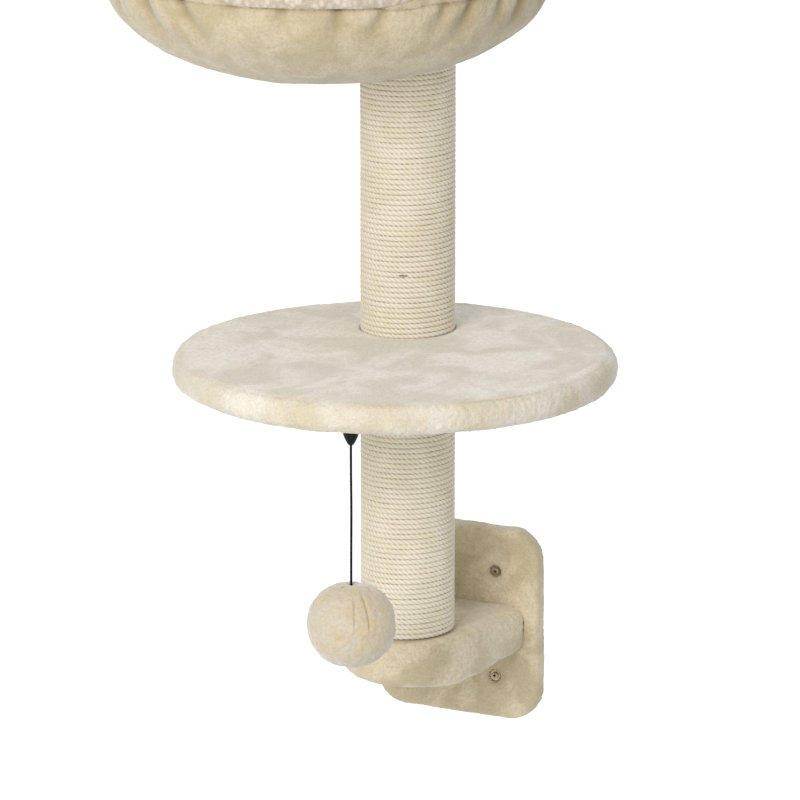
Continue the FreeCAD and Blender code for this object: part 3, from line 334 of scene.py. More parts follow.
def sisal():
    """Twisted sisal: pale fibres along the strands, and painted shade between them."""
    graph = Graph("sisal")
    along = graph.attribute("rope_way").outputs["Vector"]
    groove = graph.attribute("rope_groove_shade").outputs["Fac"]
    stretched = graph.nodes.new("ShaderNodeMapping")
    stretched.inputs["Scale"].default_value = (0.09, 1.0, 1.0)
    graph.links.new(along, stretched.inputs["Vector"])
    fibres = graph.noise(0.00055, 2, 0.0, stretched.outputs[0])
    base = graph.mix(graph.ramp(graph.noise(0.030, 2), 0.35, 0.65), (0.78, 0.72, 0.59), (0.84, 0.78, 0.68))
    base = graph.mix(graph.ramp(fibres, 0.30, 0.70, 0.0, 0.30), base, (0.68, 0.60, 0.43))
    # Painted shade in the grooves between the strands.
    base = graph.mix(graph.ramp(groove, 0.25, 0.95, 0.0, 0.50), base, (0.55, 0.47, 0.30))
    graph.set(Roughness=0.75, Specular_IOR_Level=0.2, Sheen_Weight=0.12)
    return graph.finish(base, graph.bump(fibres, 0.5, 0.0004))


def metal(name, colour, roughness):
    """Plated steel with faint scuffs, and painted shade in a screw's recess."""
    graph = Graph(name)
    scuffs = graph.noise(0.0012, 4, 0.0, graph.stretch(1, 1, 0.2))
    base = graph.mix(graph.ramp(scuffs, 0.3, 0.7, 0.0, 0.5), colour, shade(colour, 0.7))
    # Painted shade in the screw's cross recess.
    base = graph.mix(graph.attribute("recess").outputs["Fac"], base, (0.02, 0.017, 0.012))
    graph.set(Metallic=1.0)
    uneven = graph.ramp(scuffs, 0.2, 0.8, roughness * 0.8, roughness * 1.3)
    graph.links.new(uneven, graph.shader.inputs["Roughness"])
    return graph.finish(base, graph.bump(scuffs, 0.15, 0.0002))


def moulded(name, colour, roughness):
    """Moulded plastic with a fine grain."""
    graph = Graph(name)
    grain = graph.noise(0.0004, 2)
    base = graph.mix(graph.ramp(graph.noise(0.004, 2), 0.3, 0.7), colour, shade(colour, 1.5))
    graph.set(Roughness=roughness, Specular_IOR_Level=0.12)
    return graph.finish(base, graph.bump(grain, 0.2, 0.0001))


def braided():
    """Black elastic cord with a fine braid."""
    graph = Graph("black_cord")
    strands = graph.cells(0.0009, graph.stretch(1, 1, 0.45))
    base = graph.mix(graph.ramp(strands, 0.1, 0.7), (0.012, 0.015, 0.015), (0.004, 0.005, 0.005))
    graph.set(Roughness=0.8, Specular_IOR_Level=0.12)
    return graph.finish(base, graph.bump(strands, 0.7, 0.0003))


def chipboard():
    """Raw chipboard: pale flakes."""
    graph = Graph("board")
    flakes = graph.cells(0.004)
    base = graph.mix(graph.ramp(flakes, 0.0, 0.8), (0.70, 0.55, 0.36), (0.50, 0.37, 0.22))
    base = graph.mix(graph.ramp(graph.noise(0.002, 3), 0.3, 0.7, 0.0, 0.4), base, (0.78, 0.66, 0.47))
    graph.set(Roughness=0.85)
    return graph.finish(base, graph.bump(flakes, 0.3, 0.0003))


def card():
    """Wound grey-brown card."""
    graph = Graph("card")
    fibres = graph.noise(0.0015, 3, 0.0, graph.stretch(1, 1, 4))
    base = graph.mix(graph.ramp(fibres, 0.3, 0.7), (0.46, 0.36, 0.24), (0.36, 0.27, 0.17))
    graph.set(Roughness=0.9)
    return graph.finish(base, graph.bump(fibres, 0.3, 0.0002))


def foam():
    """Open-cell foam."""
    graph = Graph("foam")
    pores = graph.cells(0.0012)
    base = graph.mix(graph.ramp(pores, 0.0, 0.7), (0.60, 0.57, 0.42), (0.84, 0.81, 0.66))
    graph.set(Roughness=0.95)
    return graph.finish(base, graph.bump(pores, 0.8, 0.0006))


def make_materials():
    return {
        "bracket_plush": plush("bracket_plush", (0.735, 0.64, 0.465), (0.55, 0.46, 0.30), patch=0.06),
        "platform_plush": plush("platform_plush", (0.89, 0.83, 0.73), (0.67, 0.605, 0.485),
                                (0.585, 0.49, 0.325), patch=0.085),
        "bowl_plush": plush("bowl_plush", (0.595, 0.51, 0.36), (0.49, 0.41, 0.26)),
        "ball_plush": plush("ball_plush", (0.61, 0.54, 0.43), (0.60, 0.495, 0.325), patch=0.03, sheen=0.9),
        "lambswool": lambswool(),
        "sisal": sisal(),
        "foam": foam(),
        "board": chipboard(),
        "card": card(),
        "zinc_steel": metal("zinc_steel", (0.40, 0.335, 0.22), 0.45),
        "dark_staple": metal("dark_staple", (0.16, 0.13, 0.10), 0.5),
        "black_plastic": moulded("black_plastic", (0.004, 0.005, 0.005), 0.5),
        "black_cord": braided(),
    }


def dress_cad_nodes(materials):
    """Every node of the frame gets its slot's material."""
    slots = {part["node"]: part["material_slot"] for part in frame["record"]["subparts"]}
    for name, node in NODES.items():
        node.data.materials.clear()
        node.data.materials.append(materials[slots[name]])


# ---------------------------------------------------------------- mesh tools

def cell_values(cells, seed):
    """A fixed pseudo-random number from -1 to 1 for each whole-number cell."""
    mixed = (cells[..., 0] * 374761393 + cells[..., 1] * 668265263 + cells[..., 2] * 1440662683
             + seed * 974634777)
    mixed &= 0xFFFFFFFF
    mixed = ((mixed ^ (mixed >> 13)) * 1274126177) & 0xFFFFFFFF
    return (mixed ^ (mixed >> 16)) / 0x7FFFFFFF - 1.0


def unevenness(points, lump, seed):
    """Smooth noise from -1 to 1, with lumps of a size in metres."""
    scaled = points / lump
    corner = np.floor(scaled).astype(np.int64)
    part = scaled - corner
    part = part * part * (3 - 2 * part)
    total = np.zeros(len(points))
    for offset in np.ndindex(2, 2, 2):
        near = np.where(np.array(offset) == 1, part, 1 - part)
        total += near.prod(axis=1) * cell_values(corner + np.array(offset), seed)
    return total


def turn_from(angle, place):
    return (angle - place + 180) % 360 - 180


def smooth(value, low, high):
    share = np.clip((value - low) / (high - low), 0, 1)
    return share * share * (3 - 2 * share)


def corners_of(mesh):
    points = np.empty(len(mesh.vertices) * 3, np.float32)
    mesh.vertices.foreach_get("co", points)
    return points.reshape(-1, 3).astype(float)


def normals_of(mesh):
    normals = np.empty(len(mesh.vertices) * 3, np.float32)
    mesh.vertices.foreach_get("normal", normals)
    return normals.reshape(-1, 3).astype(float)


def move_corners(mesh, points):
    mesh.vertices.foreach_set("co", points.astype(np.float32).ravel())
    mesh.update()


def tree_of(meshes):
    points, faces = [], []
    for mesh in meshes:
        start = len(points)
        points += [tuple(v.co) for v in mesh.vertices]
        faces += [[start + index for index in face.vertices] for face in mesh.polygons]
    return BVHTree.FromPolygons(points, faces)


def add_piece(name, mesh, material, body="root", replaces=()):
    """A shown piece that rides on a body and stands for nodes."""
    piece = bpy.data.objects.new(name, mesh)
    bpy.context.scene.collection.objects.link(piece)
    mesh.materials.clear()
    mesh.materials.append(material)
    mesh.shade_smooth()
    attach(piece, body)
    if replaces:
        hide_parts(*replaces)
    return piece


def remeshed(node, voxel):
    """A node's shape as an even net of small faces that lies on the same surface."""
    source = NODES[node].data
    copy = bpy.data.objects.new("remesh", source.copy())
    bpy.context.scene.collection.objects.link(copy)
    remesh = copy.modifiers.new("remesh", "REMESH")
    remesh.mode = "VOXEL"
    remesh.voxel_size = voxel
    graph = bpy.context.evaluated_depsgraph_get()
    mesh = bpy.data.meshes.new_from_object(copy.evaluated_get(graph))
    bpy.data.objects.remove(copy)
    surface = tree_of([source])
    points = corners_of(mesh)
    for index, point in enumerate(points):
        near = surface.find_nearest(Vector(point), 2 * voxel)[0]
        if near is not None:
            points[index] = near
    move_corners(mesh, points)
    return mesh


def free_share(points, neighbours, near, clear):
    """0 for points that lie on a neighbour's surface, 1 for points clear of it."""
    if not neighbours:
        return np.ones(len(points))
    surface = tree_of([NODES[name].data for name in neighbours])
    share = np.ones(len(points))
    for index, point in enumerate(points):
        distance = surface.find_nearest(Vector(point), clear)[3]
        if distance is not None:
            share[index] = min(1.0, max(0.0, (distance - near) / (clear - near)))
    return share


def soft_piece(name, node, voxel, slot, materials, inner, relief, body="root", nap_tips=0.0, even_nap=None):
    """A soft node as a fine net whose free side is moved by a relief.

    The relief is a function of points and normals that gives, for each point, how far it moves outwards in
    metres and how much shade is painted into its colour there, most where the fabric is drawn in (on the ball
    also its dark stitch), from 0 to 1. nap_tips says how pale the pile's tips are where the piece turns
    under, and even_nap, a function of points, where the pile lies evenly.
    """
    mesh = remeshed(node, voxel)
    points, normals = corners_of(mesh), normals_of(mesh)
    share = free_share(points, inner, 1.0 * MM, 2.5 * MM)
    offset, drawn = relief(points, normals)
    move_corners(mesh, points + normals * (offset * share)[:, None])
    tips = smooth(-normals[:, 2], 0.25, 0.95) * smooth(unevenness(points, 14 * MM, 5), -1.0, 0.6) * nap_tips
    even = even_nap(points) if even_nap else np.zeros(len(points))
    # The relief's second value goes on the mesh as painted shade.
    for label, values in (("painted_shade_and_stitch", drawn), ("nap_tips", tips), ("even_nap", even)):
        attribute = mesh.attributes.new(label, "FLOAT", "POINT")
        attribute.data.foreach_set("value", np.clip(values * share, 0, 1).astype(np.float32))
    return add_piece(name, mesh, materials[slot], body, (node,))


def pile(points, seed, tuft=0.7 * MM, lump=0.9 * MM):
    """The uneven surface of brushed plush: tufts, clumps and broad waves."""
    return (tuft * unevenness(points, 4.2 * MM, seed)
            + 0.6 * tuft * unevenness(points, 8.5 * MM, seed + 1)
            + lump * unevenness(points, 27 * MM, seed + 2))


# ---------------------------------------------------------------- wall bracket

def wall_bracket(materials):
    """Plush over the wall plate, drawn in round its screws, and over the shelf."""
    def plate_relief(points, normals):
        offset = pile(points, 11, 0.5 * MM, 1.1 * MM)
        drawn = np.zeros(len(points))
        for side in (-1, 1):
            for level in (-1, 1):
                away = np.hypot(points[:, 0] - side * SCREW_X, points[:, 2] - level * SCREW_Z)
                offset -= 1.8 * MM * np.exp(-(away / 13e-3) ** 2)
                drawn += np.exp(-(away / 12e-3) ** 2)
        # The second value is painted shade in the dimples round the screws.
        return offset, 0.75 * drawn

    def shelf_relief(points, normals):
        side = 1 - np.clip(np.abs(normals[:, 2]), 0, 1)
        foot = np.exp(-(np.clip(np.hypot(points[:, 0], points[:, 1] - POST_Y) - 0.060, 0, None) / 4e-3) ** 2)
        offset = pile(points, 23, 0.9 * MM, 1.8 * MM) + 1.6 * MM * side * unevenness(points, 40 * MM, 29)
        # The second value is painted shade on the shelf's top round the post's foot.
        return offset * (1 - foot), 0.5 * foot * (normals[:, 2] > 0.5)

    soft_piece("wall_plate_plush", "wall_plate_cover", 2.2 * MM, "bracket_plush", materials,
               ("wall_plate_board",), plate_relief, nap_tips=0.6)
    soft_piece("shelf_plush", "shelf_cover", 2.2 * MM, "bracket_plush", materials,
               ("shelf_block", "wall_plate_cover", "lower_post_tube"), shelf_relief, nap_tips=0.7)


def wall_screw_rings(sides):
    """One wall screw as rings about the Y axis: domed head with a cross recess, neck and thread."""
    around = np.arange(sides) * 2 * math.pi / sides
    rings = []
    for share in (0.02, 0.15, 0.30, 0.42, 0.52, 0.56, 0.70, 0.85, 0.96, 1.0):
        radius = SCREW_HEAD_RADIUS * share
        across = np.minimum(np.abs(np.cos(around)), np.abs(np.sin(around))) * radius
        recess = (across < RECESS_HALF_WIDTH) & (radius < RECESS_REACH)
        dome = 0.9 * MM * share ** 3
        rings.append((np.full(sides, radius), SCREW_FACE + dome + RECESS_DEPTH * recess, recess * 1.0))
    plain = np.zeros(sides)
    rings.append((np.full(sides, SCREW_HEAD_RADIUS), np.full(sides, SCREW_NECK_START), plain))
    rings.append((np.full(sides, SCREW_NECK_RADIUS), np.full(sides, SCREW_NECK_START), plain))
    for place in np.arange(0, SCREW_THREAD_END + 0.1 * MM, SCREW_THREAD_PITCH / 4):
        phase = (place / SCREW_THREAD_PITCH - around / (2 * math.pi)) % 1
        crest = np.clip(1 - np.abs(phase - 0.5) * 4, 0, 1)
        rings.append((SCREW_NECK_RADIUS + (SCREW_THREAD_RADIUS - SCREW_NECK_RADIUS) * crest,
                      np.full(sides, place), plain))
    rings.append((np.full(sides, 0.1 * MM), np.full(sides, SCREW_TIP), plain))
    return around, rings


def wall_screws(materials):
    """The four wall screws, with the cross recesses and threads that the solids leave out."""
    sides = 32
    around, rings = wall_screw_rings(sides)
    points, recesses, faces = [], [], []
    for x in (-SCREW_X, SCREW_X):
        for z in (-SCREW_Z, SCREW_Z):
            start = len(points)
            for radius, level, recess in rings:
                across, up = radius * np.cos(around), radius * np.sin(around)
                points += np.stack([x + across, level, z + up], axis=1).tolist()
                recesses += recess.tolist()
            for row in range(len(rings) - 1):
                for side in range(sides):
                    here, after = start + row * sides + side, start + row * sides + (side + 1) % sides
                    faces.append((here, after, after + sides, here + sides))
            last = start + (len(rings) - 1) * sides
            faces.append([start + side for side in reversed(range(sides))])
            faces.append([last + side for side in range(sides)])
    mesh = bpy.data.meshes.new("wall_screws_threaded")
    mesh.from_pydata(points, [], faces)
    # The cross recess is marked for painted shade in the material.
    mesh.attributes.new("recess", "FLOAT", "POINT").data.foreach_set("value", np.array(recesses, np.float32))
    add_piece("wall_screws_threaded", mesh, materials["zinc_steel"], "root", ("wall_screws",))


# ---------------------------------------------------------------- ropes

def rope_mesh(name, low, high, start_angle, seed):
    """Three-strand rope wound up a post from one level to another, with closed ends."""
    turns = (high - low) / ROPE_PITCH
    turn_length = math.hypot(2 * math.pi * ROPE_WIND_RADIUS, ROPE_PITCH)
    length = turns * turn_length
    count = int(length / ROPE_STEP) + 1
    run = np.linspace(0, length, count)
    angle = start_angle + 2 * math.pi * run / turn_length
    level = low + ROPE_PITCH * run / turn_length
    waver = np.stack([run, np.full(count, seed * 1.0), np.zeros(count)], axis=1)
    level = level + 0.22 * MM * unevenness(waver, 60 * MM, seed)
    girth = 1 + 0.06 * unevenness(waver, 14 * MM, seed + 1)
    outward = np.stack([np.cos(angle), np.sin(angle), np.zeros(count)], axis=1)
    climb = math.atan2(ROPE_PITCH, 2 * math.pi * ROPE_WIND_RADIUS)
    way = np.stack([-np.sin(angle) * math.cos(climb), np.cos(angle) * math.cos(climb),
                    np.full(count, math.sin(climb))], axis=1)
    across = np.cross(outward, way)
    centre = outward * ROPE_WIND_RADIUS + np.stack([np.zeros(count), np.full(count, POST_Y), level], axis=1)
    twist = 2 * math.pi * run / ROPE_LAY + 0.9 * unevenness(waver, 26 * MM, seed + 2)
    points, groove, place = [], [], []
    for side in range(ROPE_SIDES):
        around = 2 * math.pi * side / ROPE_SIDES
        hollow = abs(math.sin(1.5 * around)) ** 1.6
        radius = ROPE_RADIUS * (ROPE_CREST - ROPE_GROOVE * hollow) * girth
        turned = around - twist
        out_part, side_part = np.cos(turned), np.sin(turned)
        power = np.abs(out_part) ** ROPE_SQUARENESS + np.abs(side_part) ** ROPE_SQUARENESS
        reach = radius * power ** (-1 / ROPE_SQUARENESS)
        points.append(centre + outward * (reach * out_part)[:, None]
                      + across * (reach * side_part * ROPE_SPREAD)[:, None])
        groove.append(np.full(count, hollow))
        place.append(np.stack([run, np.full(count, around * ROPE_RADIUS), np.zeros(count)], axis=1))
    points, place = np.stack(points, axis=1).reshape(-1, 3), np.stack(place, axis=1).reshape(-1, 3)
    groove = np.stack(groove, axis=1).reshape(-1)
    ring = np.arange(ROPE_SIDES)
    after = (ring + 1) % ROPE_SIDES
    start = np.arange(count - 1)[:, None] * ROPE_SIDES
    following = start + ROPE_SIDES
    quads = np.stack([start + ring, following + ring, following + after, start + after], axis=2)
    faces = quads.reshape(-1, 4).tolist()
    faces.append(list(range(ROPE_SIDES)))
    faces.append([(count - 1) * ROPE_SIDES + index for index in reversed(range(ROPE_SIDES))])
    mesh = bpy.data.meshes.new(name)
    mesh.from_pydata(points.tolist(), [], faces)
    # How deep each point lies in a groove, for painted shade there.
    mesh.attributes.new("rope_groove_shade", "FLOAT", "POINT").data.foreach_set("value", groove.astype(np.float32))
    ways = mesh.attributes.new("rope_way", "FLOAT_VECTOR", "POINT")
    ways.data.foreach_set("vector", place.astype(np.float32).ravel())
    return mesh


def ropes(materials):
    """The lower winding, and the upper one as two lengths that meet at the visible staple."""
    sunk = ROPE_RADIUS - ROPE_PITCH / 2
    lower_low, lower_high = (corner.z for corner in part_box("lower_post_rope"))
    upper_low, upper_high = (corner.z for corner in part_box("upper_post_rope"))
    staples = corners_of(NODES["rope_staples"].data)
    end_staple = staples[staples[:, 2] < staples[:, 2].min() + 12 * MM].mean(axis=0)
    end_angle = math.atan2(end_staple[1] - POST_Y, end_staple[0])
    lower = rope_mesh("lower_rope", lower_low + sunk, lower_high - sunk, end_angle, 41)
    add_piece("lower_post_sisal", lower, materials["sisal"], replaces=("lower_post_rope",))
    gap_turns = 0.12 * MM / (2 * math.pi * ROPE_WIND_RADIUS)
    join_turns = (ROPE_JOIN_LEVEL - upper_low - sunk) / ROPE_PITCH
    start_angle = ROPE_JOIN_ANGLE - 2 * math.pi * join_turns
    below = rope_mesh("upper_rope_below", upper_low + sunk, ROPE_JOIN_LEVEL - gap_turns * ROPE_PITCH,
                      start_angle, 43)
    above = rope_mesh("upper_rope_above", ROPE_JOIN_LEVEL + gap_turns * ROPE_PITCH, upper_high - sunk,
                      ROPE_JOIN_ANGLE + 2 * math.pi * gap_turns, 47)
    add_piece("upper_post_sisal_below", below, materials["sisal"], replaces=("upper_post_rope",))
    add_piece("upper_post_sisal_above", above, materials["sisal"], replaces=("upper_post_rope",))


# ---------------------------------------------------------------- platform

def platform(materials):
    """Brushed plush with a seam round its upper edge and longer pile on its side."""
    seam_radius, seam_level = PLATFORM_RADIUS - 11 * MM, 0.4212
    middle_level = 0.403

    def at_side(points):
        radial = np.hypot(points[:, 0] - PLATFORM_X, points[:, 1] - PLATFORM_Y)
        return np.clip((radial - (PLATFORM_RADIUS - 22 * MM)) / (14 * MM), 0, 1)

    def relief(points, normals):
        radial = np.hypot(points[:, 0] - PLATFORM_X, points[:, 1] - PLATFORM_Y)
        degrees = np.degrees(np.arctan2(points[:, 1] - PLATFORM_Y, points[:, 0] - PLATFORM_X))
        side = at_side(points)
        offset = pile(points, 53, 0.35 * MM, 0.9 * MM) * (1 - side)
        offset += (pile(points, 61, 0.9 * MM, 0.9 * MM) - 0.6 * MM) * side
        seam = np.exp(-(np.hypot(radial - seam_radius, points[:, 2] - seam_level) / 2.6e-3) ** 2)
        shown = smooth(degrees, -50, -40) * (1 - smooth(degrees, -24, -16))
        seam *= np.clip(0.25 + 0.3 * unevenness(points, 70 * MM, 67) + 0.75 * shown, 0.1, 1)
        offset -= 2.4 * MM * seam
        swell = 1.0 * MM * unevenness(points, 90 * MM, 71) * side
        post = np.exp(-(np.clip(np.hypot(points[:, 0], points[:, 1] - POST_Y) - 0.0606, 0, None) / 3e-3) ** 2)
        offset += np.where(points[:, 2] < middle_level, 0.6 * swell, swell)
        # The second value is painted shade in the seam and round the post's foot.
        return offset * (1 - post) + 0.3 * MM * post, 0.6 * seam + 0.2 * post * (normals[:, 2] > 0.5)

    pad = soft_piece("platform_plush", "platform_cover", 2.5 * MM, "platform_plush", materials,
                     ("platform_foam", "platform_board"), relief, nap_tips=0.45, even_nap=at_side)


# ---------------------------------------------------------------- bowl

# Gathers that the photograph shows: where each crosses the hem, in degrees from +X about the bowl's centre,
# how far it leans in 50 mm below the hem, its depth and how far down it reaches.
GATHERS = ((241, 7, 1.0, 48), (256, 6, 1.0, 44), (271, 0, 0.45, 26), (285, -1, 0.8, 30), (299, 0, 0.9, 42),
           (311, -4, 0.8, 44), (327.5, -3, 0.9, 28), (336, -5, 1.1, 44), (347, -3, 0.9, 50),
           (357, -4, 1.1, 56), (371, -2, 0.9, 44))
GATHER_DEPTH = 8.5 * MM


def all_gathers():
    """The gathers that the photograph shows, then uneven ones round the rest of the rim."""
    dice = random.Random(5)
    gathers = list(GATHERS)
    angle = GATHERS[-1][0] + dice.uniform(9, 14)
    while angle < GATHERS[0][0] + 360 - 8:
        gathers.append((angle, dice.uniform(-5, 5), dice.uniform(0.5, 1.1), dice.uniform(26, 52)))
        angle += dice.uniform(9, 15)
    return gathers


def about_bowl(points):
    """Distances and angles, in degrees, of points about the bowl's axis."""
    offset = points[:, :2] - np.array([BOWL_X, BOWL_Y])
    return np.hypot(*offset.T), np.degrees(np.arctan2(offset[:, 1], offset[:, 0]))


def bowl(materials):
    """Gathered plush cover, padded rim, lambswool and cushion."""
    gathers = all_gathers()

    def gathered(points, widen=1.0):
        radial, angle = about_bowl(points)
        below = np.clip(HEM_LEVEL - points[:, 2], 0, None)
        drawn = np.zeros(len(points))
        for place, lean, depth, reach in gathers:
            turn = turn_from(angle, place + lean * below / 0.050)
            narrow = (1.5 + 60 * below) * widen
            drawn += depth * np.exp(-(turn / narrow) ** 2 - (below / (reach * MM)) ** 2)
        return np.clip(drawn, 0, 1.2) * (radial > BOWL_FLAT_RADIUS), below, radial

    def cover_relief(points, normals):
        drawn, below, radial = gathered(points)
        fade = np.exp(-(below / 50e-3) ** 2)
        at_hem = np.exp(-(below / 2.6e-3) ** 2)
        broad = 2.4 * MM * unevenness(points, 75 * MM, 83) * (1 - fade)
        offset = 4.2 * MM * fade - GATHER_DEPTH * drawn * (1 - 0.75 * at_hem) - 1.6 * MM * at_hem
        outside = (radial > BOWL_FLAT_RADIUS) * 1.0
        # The second value is painted shade: in the gathers, in a wider halo round them, and along the hem.
        return offset * outside + broad + pile(points, 79, 0.4 * MM, 0.9 * MM), \
            outside * (0.40 * drawn + 0.28 * gathered(points, 1.9)[0] + 0.35 * at_hem)

    def foam_relief(points, normals):
        drawn, _, radial = gathered(points)
        away = (points[:, :2] - np.array([BOWL_X, BOWL_Y])) / radial[:, None]
        outside = smooth((normals[:, :2] * away).sum(axis=1), 0.1, 0.6)
        return -(GATHER_DEPTH * drawn + 0.6 * MM) * outside, np.zeros(len(points))

    def wool_relief(points, normals):
        return 1.5 * MM * unevenness(points, 9 * MM, 91) + 0.8 * MM * unevenness(points, 4.5 * MM, 92), \
            np.zeros(len(points))

    def rim_relief(points, normals):
        radial, angle = about_bowl(points)
        above = np.clip(points[:, 2] - HEM_LEVEL, 0, None)
        drawn = np.zeros(len(points))
        for place, _, depth, _ in gathers:
            turn = turn_from(angle, place)
            drawn += depth * np.exp(-(turn / (1.6 + 60 * above)) ** 2 - (above / 14e-3) ** 2)
        course = angle % 360
        fold = smooth(course, 309, 313) * (1 - smooth(course, 318, 323)) * np.exp(-(above / 9e-3) ** 2)
        at_hem = np.exp(-(above / 2.4e-3) ** 2)
        offset = 1.8 * MM - 2.6 * MM * drawn - 0.8 * MM * at_hem * (1 - fold) + 3.0 * MM * fold
        outside = (radial > RIM_OUTSIDE - 8 * MM) * 1.0
        offset = offset * outside + pile(points, 97, 0.4 * MM, 1.2 * MM)
        # The second value is painted shade in the gathers and along the hem.
        return offset, outside * (0.35 * drawn + 0.3 * at_hem)

    def cushion_relief(points, normals):
        radial, angle = about_bowl(points)
        ripples = np.sin(np.radians(angle) * 26 + 4 * unevenness(points, 90 * MM, 103))
        edge = np.exp(-((radial - 0.212) / 14e-3) ** 2)
        return 1.1 * MM * edge * ripples + 2.4 * MM * unevenness(points, 60 * MM, 107) \
            + 1.2 * MM * unevenness(points, 8 * MM, 109), np.zeros(len(points))

    soft_piece("bowl_foam_gathered", "bowl_foam", 4.0 * MM, "foam", materials, (), foam_relief)
    soft_piece("bowl_cover_plush", "bowl_outer_cover", 2.8 * MM, "bowl_plush", materials,
               ("bowl_foam", "bowl_belly_pad"), cover_relief)
    soft_piece("bowl_wool_lining", "bowl_lining", 3.2 * MM, "lambswool", materials,
               ("bowl_foam",), wool_relief)
    rim = soft_piece("bowl_rim_plush", "bowl_rim_roll", 2.8 * MM, "bowl_plush", materials,
                     ("bowl_rim_wire", "bowl_foam"), rim_relief)
    cushion = soft_piece("bowl_wool_cushion", "bowl_cushion", 3.4 * MM, "lambswool", materials,
                         ("bowl_lining",), cushion_relief)
    wool_over_rim(materials)


def wool_over_rim(materials):
    """The lining's upper part: lambswool folded out over the rim, lowest where the photograph shows it."""
    columns, inside_rows, over_rows, outside_rows = 680, 7, 22, 12
    middle = (RIM_OUTSIDE + RIM_INSIDE) / 2
    bend = (RIM_OUTSIDE - RIM_INSIDE) / 2 + 2.6 * MM
    thick = 5.0 * MM
    start_level = HEM_LEVEL - 2 * MM
    degrees = np.arange(columns) * 360 / columns
    way = np.stack([np.cos(np.radians(degrees)), np.sin(np.radians(degrees)), np.zeros(columns)], axis=1)
    wave = unevenness(way * 0.27, 55 * MM, 131)
    low_part = smooth(degrees, 258, 274) * (1 - smooth(degrees, 309, 338))
    usual_edge, lowest_edge = 0.9290, HEM_LEVEL + 2.5 * MM
    edge_level = usual_edge + 2.2 * MM * wave - low_part * (usual_edge - lowest_edge + 1.5 * MM * wave)
    rows = []
    for index in range(inside_rows):
        share = index / inside_rows
        tuck = 9 * MM * (1 - share) ** 3
        rows.append((np.full(columns, middle - bend + tuck), np.full(columns, start_level)
                     + share * (RIM_SHOULDER - start_level), -1.0, 0.0))
    for index in range(over_rows + 1):
        turn = math.pi * (1 - index / over_rows)
        rows.append((np.full(columns, middle + bend * math.cos(turn)),
                     np.full(columns, RIM_SHOULDER + bend * math.sin(turn)), math.cos(turn), math.sin(turn)))
    for index in range(1, outside_rows + 1):
        level = RIM_SHOULDER + (edge_level - RIM_SHOULDER) * index / outside_rows
        rows.append((np.full(columns, middle + bend), level, 1.0, 0.0))
    under, over = [], []
    for index, (radial, level, outward, upward) in enumerate(rows):
        at = np.stack([BOWL_X + radial * way[:, 0], BOWL_Y + radial * way[:, 1], level], axis=1)
        normal = outward * way + np.array([0, 0, upward])
        end = min(index, len(rows) - 1 - index)
        plump = thick * min(1.0, 0.35 + 0.25 * end)
        curl = 1.7 * MM * unevenness(at, 9 * MM, 137) + 0.9 * MM * unevenness(at, 4.5 * MM, 139)
        broad = 1.2 * MM * unevenness(at, 45 * MM, 149)
        under.append(at)
        over.append(at + normal * (plump + (curl + broad) * min(1.0, 0.3 + 0.3 * end))[:, None])
    ring = over + under[::-1]
    points = np.concatenate(ring)
    faces = []
    column = np.arange(columns)
    after = (column + 1) % columns
    for row in range(len(ring)):
        here, there = row * columns, (row + 1) % len(ring) * columns
        faces.append(np.stack([here + column, there + column, there + after, here + after], axis=1))
    mesh = bpy.data.meshes.new("bowl_wool_over_rim")
    mesh.from_pydata(points.tolist(), [], np.concatenate(faces).tolist())
    add_piece("bowl_wool_over_rim", mesh, materials["lambswool"], "root", ("bowl_lining",))


# ---------------------------------------------------------------- toy

# Creases of the ball's gathered top: degrees from +X about the cord, depth, and lowest level over its radius.
BALL_CREASES = ((-158, 0.3, 0.3), (-128, 0.35, 0.2), (-101, 0.35, 0.25), (-80, 0.3, 0.3), (-59, 1.0, -0.08),
                (-39, 1.2, -0.08), (-22, 0.4, 0.3), (8, 0.5, 0.3), (38, 0.6, 0.2), (66, 0.4, 0.4),
                (95, 0.7, 0.1), (126, 0.5, 0.3), (160, 0.6, 0.2))
BALL_STITCH = (-3.4 * MM, -14.9 * MM)


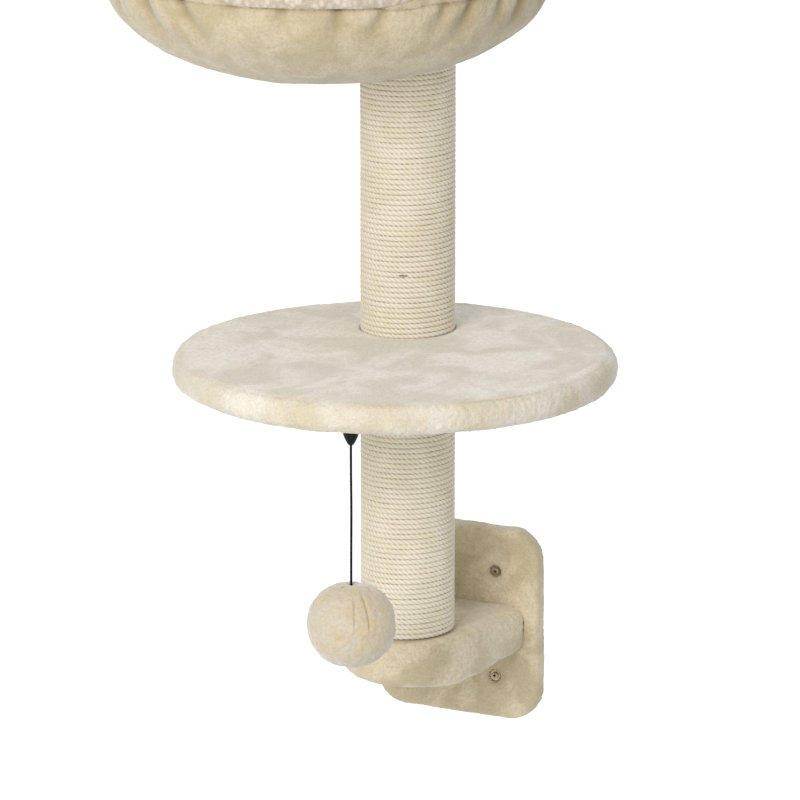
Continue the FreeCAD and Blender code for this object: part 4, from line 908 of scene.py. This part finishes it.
def toy(materials):
    """Cord, and the gathered ball."""
    length = CORD_EXIT_LEVEL - CORD_END_LEVEL
    curve = bpy.data.curves.new("toy_cord_line", "CURVE")
    curve.dimensions = "3D"
    curve.bevel_depth = CORD_DIAMETER / 2
    curve.bevel_resolution = 4
    curve.use_fill_caps = True
    curve.resolution_u = 12
    spline = curve.splines.new("NURBS")
    bow = (0, 0, 0.5, 0.2, 0, 0)
    spline.points.add(len(bow) - 1)
    for index, point in enumerate(spline.points):
        level = CORD_EXIT_LEVEL - length * index / (len(bow) - 1)
        point.co = (TOY_X + bow[index] * MM, TOY_Y, level, 1)
    spline.order_u = 3
    spline.use_endpoint_u = True
    cord = bpy.data.objects.new("toy_black_cord", curve)
    bpy.context.scene.collection.objects.link(cord)
    curve.materials.append(materials["black_cord"])
    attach(cord, "toy_line")
    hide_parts("toy_cord")

    def ball_relief(points, normals):
        offset = points - np.array([TOY_X, TOY_Y, BALL_LEVEL])
        angle = np.degrees(np.arctan2(offset[:, 1], offset[:, 0]))
        height = offset[:, 2] / BALL_HALF_HEIGHT
        away = np.hypot(offset[:, 0], offset[:, 1])
        drawn = np.zeros(len(points))
        for place, depth, lowest in BALL_CREASES:
            across = np.radians(turn_from(angle, place)) * away
            drawn += depth * np.exp(-(across / 1.3e-3) ** 2) * smooth(height, lowest, lowest + 0.45)
        drawn *= 0.15 + 0.85 * smooth(away, 24 * MM, 40 * MM)
        under = smooth(-height, 0.75, 1.0) * np.cos(np.radians(angle) * 9) * 0.35
        pole = np.exp(-(away / 6e-3) ** 2) * (np.abs(height) > 0.5)
        mound = 0.8 * MM * smooth(np.abs(height), 0.0, 0.5)
        outward = mound - 2.4 * MM * np.clip(drawn + under, 0, 1.3) - 2.0 * MM * pole
        from_stitch = (offset[:, :2] - np.array(BALL_STITCH)) / 2.2e-3
        stitch = np.exp(-(from_stitch ** 2).sum(axis=1)) * (height > 0.5)
        # The second value is painted shade in the creases and the dimples at the poles; at the stitch it is
        # partly its dark thread, partly painted shade in its dent.
        return outward - 1.5 * MM * stitch + pile(points, 127, 0.85 * MM, 0.9 * MM), \
            0.25 * np.clip(drawn, 0, 1.2) + 0.4 * pole + 1.2 * stitch

    ball = soft_piece("toy_ball_plush", "toy_ball_cover", 1.6 * MM, "ball_plush", materials,
                      ("toy_ball_filling",), ball_relief, body="toy_ball")


# ---------------------------------------------------------------- all together

bpy.context.scene.view_settings.view_transform = "Standard"
make_camera()
make_light()
make_floor()
MATERIALS = make_materials()
dress_cad_nodes(MATERIALS)
toy(MATERIALS)
wall_bracket(MATERIALS)
wall_screws(MATERIALS)
ropes(MATERIALS)
platform(MATERIALS)
bowl(MATERIALS)
